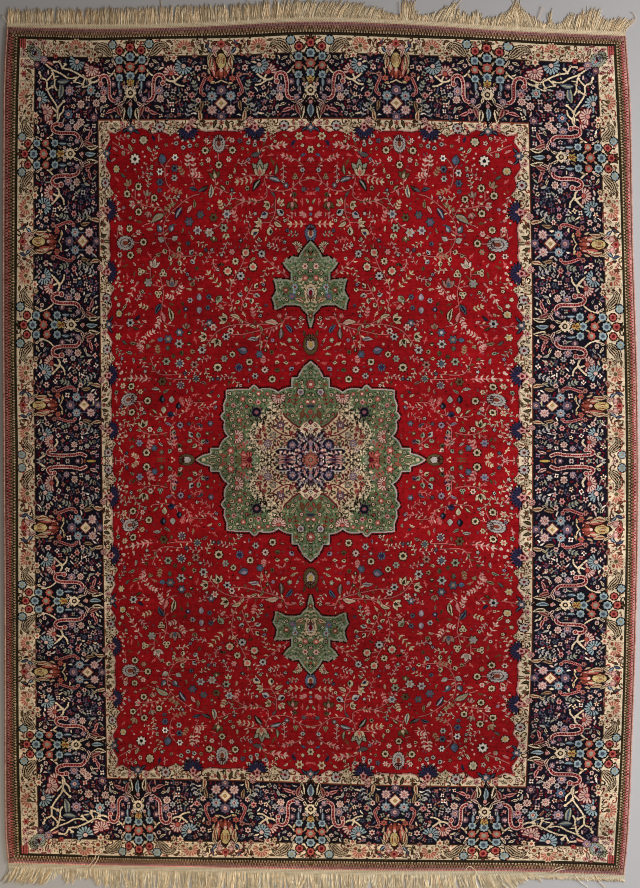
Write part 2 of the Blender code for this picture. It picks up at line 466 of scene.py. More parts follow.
def field_spray(a, t, rng):
    """A bent stem with leaves on each side by turns and a bud at its tip, if the whole of it finds room."""
    turn, length, bend = rng.uniform(0, 360), rng.uniform(5.0, 9.0), rng.uniform(-1.4, 1.4)
    shares = [k / SPRAY_LEAVES for k in range(SPRAY_LEAVES + 1)]
    path = [moved(a, t, length * (s - 0.5), bend * 4 * s * (1 - s), turn) for s in shares]
    if not all(free(*place, 0.7, ("crimson",)) for place in path):
        return
    stem(path, "maroon", 0.66)
    stem(path, rng.choice(("rose", "pink", "rose")), 0.34)
    yarn = rng.choice(("cream", "blush", "pink", "cream", "pink", "rose", "sage"))
    for k, place in enumerate(path[:-1]):
        swing = turn + (55 if k % 2 else -55)
        leaf(*moved(*place, 0.25, 0, swing), 1.9, 0.95, swing, "maroon")
        leaf(*moved(*place, 0.3, 0, swing), 1.6, 0.6, swing, yarn)
    blob(*path[-1], 1.05, "maroon")
    blob(*path[-1], 0.8, rng.choice(("cream", "slate", "blush", "pearl", "lilac")), 0, 1.0, 5)
    blob(*path[-1], 0.3, rng.choice(("wine", "ink", "cream")))


SPROUT_PITCH = 1.7


def sprouts(points, rng):
    """Small leaves along a stem, on one side and then on the other."""
    turns = 1
    for (x0, y0), (x1, y1) in zip(points[:-1], points[1:]):
        turn = math.degrees(math.atan2(y1 - y0, x1 - x0))
        length = math.hypot(x1 - x0, y1 - y0)
        for k in range(int(length / SPROUT_PITCH)):
            turns = -turns
            a, t = moved(x0, y0, SPROUT_PITCH * (k + rng.uniform(0.2, 0.8)), 0.9 * turns, turn)
            if free(*moved(a, t, 0, 0.5 * turns, turn), 0.5, ("crimson",)):
                swing = turn + turns * rng.uniform(35, 65)
                yarn = rng.choice(("cream", "pink", "rose", "cream", "olive", "blush"))
                leaf(*moved(a, t, -0.7, 0, swing), rng.uniform(1.6, 2.3), rng.uniform(0.6, 0.85), swing, yarn)


BLOSSOM_YARNS = (
    "blush", "pearl", "ivory", "lilac", "pink", "mauve", "white", "sage", "dusk", "slate", "blush",
)


def little_blossom(a, t, rng):
    """A small blossom of four or five petals for the navy band."""
    yarn = rng.choice(BLOSSOM_YARNS)
    heart = rng.choice(("wine", "navy", "coral", "wine", "maroon"))
    petals = rng.choice((4, 4, 5))
    size = rng.uniform(1.0, 1.45)
    blob(a, t, size, yarn, rng.uniform(0, 90), 1.0, petals, 0.26)
    blob(a, t, size * 0.40, heart)


def little_leaf(a, t, rng):
    """A bent leaf for the navy band."""
    yarn = rng.choice(("ivory", "pearl", "white", "sage", "blush", "mauve", "wine", "dusk", "slate"))
    turn, length, width = rng.uniform(0, 360), rng.uniform(1.6, 3.4), rng.uniform(0.6, 1.0)
    leaf(*moved(a, t, -length / 2, 0, turn), length, width, turn, yarn, None, rng.uniform(-0.5, 0.5))


def little_spot(a, t, rng):
    """A spot for the navy band."""
    blob(a, t, 0.45, rng.choice(("pink", "slate", "wine", "rust", "mauve", "ruby")))


LITTLE_CURL = ((-1.2, 0.8), (-0.6, -0.3), (0.3, -0.7), (1.0, 0.0), (0.4, 0.6))


def little_curl(a, t, rng):
    """A tendril with a ball at its root, for the ivory band."""
    yarn = rng.choice(("brown", "umber", "brown", "olive", "rust"))
    turn, size = rng.uniform(0, 360), rng.uniform(0.8, 1.3)
    root = curl(a, t, size, turn, LITTLE_CURL, yarn, 0.56)
    blob(*root, 0.55, rng.choice(("coral", "brown", "rust", "brown")))


def brown_leaf(a, t, rng):
    """A short leaf in a brown, for the ivory band."""
    turn = rng.uniform(0, 360)
    leaf(*moved(a, t, -0.9, 0, 0), 1.8, 0.9, turn, rng.choice(("brown", "rust", "olive", "umber", "coral")))


def outlined_blossom(a, t, rng):
    """A pale outlined blossom for the ivory band."""
    size, turn = rng.uniform(0.95, 1.6), rng.uniform(0, 60)
    rim = rng.choice(("brown", "umber", "brown", "wine", "rust"))
    blob(a, t, size * 1.05, rim, turn, 1.0, 5, 0.16)
    yarn = rng.choice(("cream", "blush", "ivory", "cream", "pink", "sand"))
    blob(a, t, size * 0.72, yarn, turn, 1.0, 5, 0.16)
    blob(a, t, size * 0.30, rng.choice(("rust", "olive", "coral", "umber", "wine")))


# ---------------------------------------------------------------------------
# The field, its medallion and its pendants
# ---------------------------------------------------------------------------
BOW_STEPS = 6


def bowed(rows):
    """Points along a line of stations; bow is how far the stretch after a station bulges to its left."""
    points = []
    for a, b in zip(rows[:-1], rows[1:]):
        x, y = a["across"], a["along"]
        dx, dy = b["across"] - x, b["along"] - y
        for k in range(BOW_STEPS if a["bow"] else 1):
            share = k / BOW_STEPS
            lift = 4 * a["bow"] * share * (1 - share)
            points.append((x + dx * share - dy * lift, y + dy * share + dx * lift))
    return points + [(rows[-1]["across"], rows[-1]["along"])]


def line(points, yarn, width):
    """A line that keeps its corners."""
    for a, b in zip(points[:-1], points[1:]):
        stem([a, b], yarn, width)


def beads(points, yarn, size, pitch, beside=0.0):
    """Dots along a line, or beside it."""
    left = 0.0
    for (x0, y0), (x1, y1) in zip(points[:-1], points[1:]):
        length = math.hypot(x1 - x0, y1 - y0)
        turn = math.degrees(math.atan2(y1 - y0, x1 - x0))
        while left < length:
            blob(*moved(x0, y0, left, beside, turn), size, yarn)
            left += pitch
        left -= length


def fill(points, yarn):
    """Fills the area that a closed line holds."""
    inside = np.zeros(chart.shape, bool)
    for (x0, y0), (x1, y1) in zip(points, points[1:] + points[:1]):
        if y0 == y1:
            continue
        level = (ALONG > min(y0, y1)) & (ALONG <= max(y0, y1))
        inside ^= level & (ACROSS < x0 + (ALONG - y0) * (x1 - x0) / (y1 - y0))
    chart[inside] = YARN_INDEX[yarn]


# The medallion's outline, from its end to its side
MEDALLION = table("""
across along bow
0      46.8  .06
5.4    40.4  0
5.6    39.0  0
8.6    38.9  0
8.7    34.2  .10
15.2   31.8  .10
20.0   33.7  0
24.6   33.5  .05
26.5   35.4  .05
28.6   33.5  .02
39.6   32.9  0
39.4   29.6  0
40.8   26.0  .02
40.4   22.8  .05
42.2   20.8  .05
40.3   18.4  .02
40.6   15.0  .10
38.4   11.2  .10
42.8   5.8   0
43.0   5.3   0
47.0   5.2   0
47.1   2.8   .08
54.0   0     0
""")
# The outline of its cream heart
HEART_LINE = table("""
across along bow
0      19.0  0
1.8    16.6  .03
5.9    15.5  .05
8.6    17.3  .03
12.0   20.6  .04
12.8   22.2  .03
15.4   27.3  .02
16.2   23.6  .05
18.5   20.4  .08
22.8   18.3  .06
26.4   12.4  .08
25.2   5.3   .06
20.9   3.7   .04
20.0   0     0
""")
# A pendant's outline, from the medallion outward
PENDANT = table("""
across along bow
0      63.2  -.04
1.2    69.4  -.06
4.6    73.2  .05
12.2   73.6  -.04
16.6   71.6  .08
17.8   76.6  .06
15.8   79.8  .06
17.0   85.2  .08
12.0   84.8  -.10
8.9    83.6  0
8.8    88.4  -.06
12.6   92.6  .12
8.6    95.2  .04
5.4    94.6  -.05
0      101.8 0
""")


def lace(points, rng, count, spread, yarns):
    """Short dashes strewn along a line, so that no hard edge shows there."""
    for _ in range(count):
        k = rng.randrange(len(points) - 1)
        (x0, y0), (x1, y1) = points[k], points[k + 1]
        share = rng.random()
        a = x0 + (x1 - x0) * share + rng.uniform(-spread, spread)
        t = y0 + (y1 - y0) * share + rng.uniform(-spread, spread)
        length = rng.uniform(0.9, 1.9)
        leaf(a, t, length, rng.uniform(0.5, 0.8), rng.uniform(0, 360), rng.choice(yarns))


MIDDLE = (0, 0)
BRIGHT_DASHES = dashes(("pink", "lilac", "white", "coral", "blush", "lilac"))
VIOLET_DASHES = dashes(("mauve", "pink", "blush", "indigo", "pearl", "wine", "navy"))
DARK_DASHES = dashes(("wine", "umber", "maroon", "slate"))
# What is strewn: places tried, room that the motif needs, motif
STAR_STREWN = ((420, 0.42, BRIGHT_DASHES),)
VIOLET_STREWN = ((900, 0.6, VIOLET_DASHES),)
HEART_STREWN = ((3600, 0.9, dark_curl), (2000, 0.65, DARK_DASHES))
GREEN_STREWN = ((2.0, 1.3, little_roundel), (2.0, 1.25, little_twig), (3.5, 0.62, little_dash))  # a square cm
HEART_SPLIT = 15.3  # the heart's outline is drawn as a line up to here across, and laced past it
# The layers of the rosette in the middle of the rug: radius, yarn, turn, petals, how deep they are cut
BOSS = (
    (4.1, "brown", 0, 12, 0.12),
    (3.8, "coral", 0, 12, 0.42),
    (2.7, "sand", 15, 12, 0.42),
    (1.9, "rose", 0, 8, 0.3),
    (1.2, "umber", 0, 0, 0),
    (0.8, "sand", 0, 0, 0),
    (0.4, "slate", 0, 0, 0),
)


def draw_star(rng):
    """The star on the medallion's heart, with the boss in its middle."""
    draw(STAR_FLOWERS, "navy")
    strew(STAR_STREWN, MIDDLE, (14, 16), ("navy",), rng)
    for radius, yarn, turn, petals, depth in BOSS:
        blob(*MIDDLE, radius, yarn, turn, 1.0, petals, depth)


def draw_medallion():
    """The green medallion, its cream heart and its star, all with their flowers."""
    rng = random.Random(8)
    edge = bowed(MEDALLION)
    beads(edge, "ink", 0.50, 1.05, 0.9)
    fill([(0.0, 0.0)] + edge, "green")
    line(edge, "pearl", 0.5)
    heart = bowed(HEART_LINE)
    split = next(k for k, place in enumerate(heart) if place[0] > HEART_SPLIT)
    lace(heart[split:], rng, 420, 3.4, ("moss", "ink", "sage", "ivory", "umber", "cream"))
    fill([(0.0, 0.0)] + heart, "cream")
    line(heart[:split - 6], "wine", 0.8)
    line(heart[split:split + 12], "ink", 0.6)
    lace(heart[split + 4:], rng, 520, 2.2, ("ink", "ivory", "umber", "ivory", "moss", "cream"))
    blob(0, 13.0, 5.4, "ivory")
    blob(0, 0, 8.6, "lilac", 0, 1.12)
    blob(0, 0, 11.4, "pearl", 0, 1.5, 12, 0.12)
    blob(0, 5.4, 6.0, "lilac")
    draw(MEDALLION_FLOWERS, "moss")
    draw_star(rng)
    draw(HEART_FLOWERS, "umber")
    for points in HEART_STEMS:
        stem(points, "wine", 0.5)
    strew(VIOLET_STREWN, MIDDLE, (13, 14), ("lilac",), rng)
    strew(HEART_STREWN, MIDDLE, (27, 27), ("cream", "pearl", "ivory"), rng)
    for low, high in ((MIDDLE, (54, 47)), ((0, 63), (20, 102))):
        area = (high[0] - low[0]) * (high[1] - low[1])
        strew(GREEN_STREWN, low, high, ("green",), rng, area)


def draw_pendant():
    """The pendant between the medallion and the end of the field."""
    edge = bowed(PENDANT)
    beads(edge, "ink", 0.55, 1.15, -0.8)
    fill(edge, "green")
    line(edge, "sage", 0.7)
    draw(PENDANT_FLOWERS, "brown")


MEDALLION_FLOWERS = table("""
kind    across along size turn yarn  heart rim
daisy   0      35.8  2.1  0    coral ivory maroon
ring    4.7    32.1  1.7  0    pearl mauve ink
fern    2.4    40.8  3.0  80   sage  leaf  moss
dot     6.6    35.8  .8   0    rust  rust  rust
fern    7.2    27.8  2.9  100  rust  maroon moss
rosette 1.4    27.6  1.3  0    coral white maroon
frond   0      25.2  2.4  0    slate ink   moss
diamond 0      22.8  1.2  0    coral wine  maroon
frond   4.2    21.8  2.3  105  rust  olive maroon
frond   1.8    20.8  1.6  60   rust  coral maroon
frond   8.4    23.6  1.8  45   cream leaf  moss
ring    9.8    30.8  1.0  0    cream moss  umber
fan     15.0   30.2  3.3  270  blush coral wine
rosette 20.2   31.2  1.1  0    coral blush maroon
rosette 24.4   31.4  1.2  0    coral white maroon
rosette 24.5   27.4  1.3  0    pink  wine  umber
ring    28.2   28.1  1.1  0    cream moss  umber
rosette 31.8   29.0  1.4  0    coral blush maroon
rosette 36.2   26.0  1.3  0    pink  wine  maroon
ring    33.9   22.6  1.0  0    cream ink   moss
rosette 33.4   18.8  1.4  0    coral blush maroon
ring    37.0   19.3  1.0  0    cream moss  umber
glory   25.4   22.7  3.4  10   navy  mauve coral
fan     34.8   11.0  3.2  180  blush coral wine
rosette 29.8   8.4   1.8  0    sage  coral ink
fan     28.6   0     3.8  0    coral wine  maroon
tulip   31.8   2.4   1.5  10   coral pink  maroon
rosette 37.6   4.4   1.9  0    coral blush maroon
rosette 37.0   .8    1.1  0    pink  wine  maroon
fern    33.4   6.2   2.2  150  coral maroon moss
frond   41.4   1.8   2.0  20   coral olive maroon
dot     42.4   3.8   .8   0    cream cream moss
frond   46.4   1.2   2.0  0    cream leaf  moss
ring    26.6   6.2   .9   0    cream moss  umber
dot     50.6   0     .9   0    cream cream moss
""")
HEART_FLOWERS = table("""
kind    across along size turn yarn  heart
daisy   14.2   16.4  2.0  0    mauve slate
frond   16.4   18.6  1.2  45   wine  rust
frond   13.6   19.6  1.2  95   wine  rust
frond   17.2   15.8  1.1  350  maroon rust
frond   11.4   17.6  1.1  150  wine  rust
frond   14.2   22.6  1.1  80   wine  cream
rosette 24.4   11.2  1.3  0    coral umber
rosette 22.0   14.4  1.2  0    coral wine
frond   24.0   13.6  1.2  60   wine  coral
frond   21.4   12.2  1.2  20   maroon coral
frond   22.4   16.2  1.1  100  umber coral
frond   19.4   17.2  1.1  120  umber rust
daisy   20.1   7.8   1.8  0    lilac slate
daisy   17.6   11.6  1.4  0    sage  coral
rosette 23.6   8.2   1.3  0    coral rust
rosette 21.8   4.6   1.2  0    blush slate
frond   11.8   12.6  1.1  30   wine  coral
rosette 9.0    12.8  1.0  0    coral wine
""")
HEART_STEMS = (
    ((6.4, 13.0), (9.6, 11.2), (13.2, 11.8), (16.4, 13.8), (18.6, 15.8)),
    ((13.2, 11.8), (16.6, 9.8), (18.8, 8.8)),
    ((9.6, 11.2), (10.0, 14.6), (8.6, 16.4)),
)
STAR_FLOWERS = table("""
kind    across along size turn yarn  heart
frond   13.6   .9    2.8  6    pink  dusk
frond   10.4   .7    2.6  4    mauve wine
frond   8.2    .9    2.0  4    blush coral
petal   11.0   3.2   5.4  9    navy  blush
pod     2.7    6.2   2.1  88   navy  pink
pod     5.0    11.2  2.0  60   navy  pearl
dot     1.1    9.4   .5   0    navy  navy
dot     0      9.0   .6   0    pink  pink
ring    8.5    7.0   2.4  0    indigo navy
daisy   8.5    7.0   1.7  0    lilac coral
ring    5.0    1.7   1.9  0    navy  lilac
ring    5.6    4.6   1.5  0    navy  blush
dot     4.4    13.6  .5   0    white white
dot     3.2    8.9   .45  0    white white
frond   1.0    10.6  1.7  88   ink   mauve
dot     0      4.3   .7   0    gold  gold
dot     2.0    3.6   .5   0    white white
dot     0      11.4  .7   0    mauve mauve
ring    0      14.7  1.0  0    white ink
frond   2.6    14.2  1.5  20   wine  coral
frond   2.2    16.8  1.3  130  wine  blush
frond   5.6    13.8  1.1  350  maroon rust
diamond 0      18.0  1.3  90   wine  pink
""")
PENDANT_FLOWERS = table("""
kind    across along size turn yarn  heart
rosette 2.6    91.0  1.6  0    blush rust
rosette 2.6    85.8  1.5  0    coral blush
dot     0      96.6  .8   0    rust  rust
frond   3.6    94.6  1.6  120  sage  leaf
fern    6.8    90.4  3.0  80   sage  leaf
rosette 7.4    81.6  1.6  0    powder rust
rosette 8.6    77.4  1.6  0    blue  coral
dot     7.6    79.4  .7   0    powder powder
rosette 11.6   80.2  1.4  0    rust  blush
palmette 0     79.0  4.4  270  cream wine
frond   5.4    75.4  2.2  20   cream rust
fern    3.8    82.6  2.6  60   cream brown
fern    1.4    72.2  2.8  80   cream brown
dot     14.6   83.4  .8   0    leaf  leaf
fern    14.2   76.6  2.0  60   sage  leaf
fern    13.6   83.0  2.0  60   sage  leaf
fern    9.6    93.0  1.8  20   sage  leaf
rosette 0      68.4  1.1  0    rust  cream
""")

# Stems of the field: the places that each passes
FIELD_STEMS = (
    ((12.5, 65.5), (18, 63), (25, 61.4), (33, 59.6), (38, 60)),
    ((13, 65), (20, 64.6), (28, 64.8), (37, 64.4), (43.5, 62), (47.5, 57), (50, 53)),
    ((28, 64.8), (34, 67), (38, 68)),
    ((33, 65), (36, 71), (37.4, 76), (37.8, 82), (35.6, 86), (32.5, 90.5), (30, 97), (30, 101)),
    ((32.5, 71), (31.5, 75), (29, 79), (27, 83)),
    ((31.5, 75), (33, 78)),
    ((29, 79), (24.5, 78)),
    ((29, 79), (30, 82)),
    ((28.6, 80), (22, 80.4)),
    ((37.8, 84), (34.5, 85), (32.5, 87)),
    ((33, 90), (28, 91)),
    ((36, 87), (38.5, 89)),
    ((10.5, 86), (15, 89.4), (20, 93.4), (22.8, 96.5)),
    ((39, 74.5), (43, 75.4), (47, 75)),
    ((13, 65), (11.5, 68.5), (7, 67.4)),
    ((18, 63), (19.5, 59), (21.5, 53)),
    ((23, 61.4), (23.8, 57), (23.4, 51.4)),
    ((47.5, 57), (52, 58)),
    ((16.5, 121), (16.3, 114), (19, 110), (19.2, 107)),
    ((17, 112), (14, 110.5)),
    ((18.5, 110.5), (23, 110.5), (26, 107)),
    ((16.4, 117), (20, 117)),
    ((16.4, 115), (20, 114)),
    ((23, 131), (17, 130.6)),
    ((23, 131), (29, 131), (35, 128)),
    ((21.6, 129.5), (20.4, 125), (14, 123.6), (9, 124.6), (5.5, 128), (1, 129)),
    ((20.4, 125), (20, 121), (26, 119.4), (31, 119.5), (35, 121)),
    ((31, 119.5), (36, 117), (40, 111.5), (45, 107.6), (50, 107)),
    ((9, 124.6), (8, 121), (7.8, 116)),
    ((5.5, 128), (3, 132)),
    ((23.4, 136), (24, 140), (22, 143.6), (15, 144), (10.5, 144.6)),
    ((3.6, 135), (7.4, 138), (12, 138)),
    ((43, 145), (43, 137)),
    ((43, 145), (36.6, 142)),
    ((43, 145), (49, 142)),
    ((43, 146), (37, 146.6)),
    ((43, 146), (49, 146.6)),
    ((44.6, 125), (44, 131), (45, 134), (48, 133)),
    ((44.6, 126), (41, 124.6), (38.4, 123.4)),
    ((50, 27.4), (56, 27.4), (58, 25), (59.4, 22.6), (63, 21.4), (70, 20.4), (75, 21)),
    ((58, 27), (57, 30)),
    ((60, 26), (62, 29)),
    ((63, 25.4), (63.6, 22)),
    ((61, 41), (66, 40.8), (72, 40.8), (74, 44), (75.6, 49)),
    ((56, 38.6), (63, 38.4), (68, 39)),
    ((75, 38.6), (81, 38.8), (88, 40.4)),
    ((68, 13), (72, 12), (79, 12.4), (81.5, 15.6)),
    ((79, 12.4), (83, 9.4)),
    ((51, 7), (55, 10), (57, 12.4)),
    ((65, 5), (66.4, 9), (66.2, 16), (64, 18)),
    ((60.4, 84), (63.6, 80), (66.4, 76.6)),
    ((69.6, 75), (69, 80), (70, 84), (71, 88)),
    ((70, 82), (74, 83), (78, 83.6)),
    ((75, 84), (75.4, 89), (75, 92), (74, 95.4), (70.6, 96.4)),
    ((75.4, 88), (80, 88.6)),
    ((70, 82), (67, 83.6)),
    ((69.6, 75), (70.4, 70), (69, 65), (64, 64)),
    ((70.4, 70), (71.4, 65), (73, 62.6)),
    (
        (50.5, 97), (56, 95.6), (62, 96), (66, 98.6), (68.5, 103), (69, 110), (66.6, 114), (60.5, 119),
        (56, 122), (52, 123),
    ),
    ((66, 98.6), (70, 97.6), (73, 96.6)),
    ((60, 96), (62.4, 93)),
    ((62, 96.4), (62.6, 99)),
    ((66, 98), (66.4, 95)),
    ((69, 106), (66, 108.4)),
    ((69, 106), (72, 108)),
    ((69, 104), (65.4, 103.6)),
    ((69.6, 112.4), (75, 110.6), (78, 109.8)),
    ((67.4, 112.4), (70, 117.6), (74.6, 117.4), (79, 118.4), (82.4, 121), (86, 123.4)),
    ((79, 118.4), (82, 115.6)),
    ((79, 118.4), (85, 118.4)),
    ((76.6, 117.6), (77.4, 122)),
    ((82.4, 121), (82.4, 125)),
    ((75, 117.4), (74.4, 120.6)),
    ((84, 122), (87.4, 127)),
    ((61.6, 124), (66.6, 125.8), (68, 130), (68.2, 135), (65.4, 138.4)),
    ((68.2, 134), (71, 138)),
    ((54, 127), (56, 132), (57, 139)),
    ((54.6, 130), (50, 130)),
    ((84, 141.6), (88, 143), (94, 146)),
    ((89, 64.6), (92, 65), (96, 65.6)),
    ((79, 65), (84, 65)),
    ((87, 29), (79, 27.6)),
    ((87, 29), (87, 23)),
    ((87, 29), (87, 35)),
    ((84, 30), (82, 32)),
    ((84, 28), (82, 24)),
    ((89.5, 102), (89, 108)),
    ((86, 104), (83, 106)),
    ((85, 102), (80, 102)),
    ((92, 104), (91.4, 108)),
)
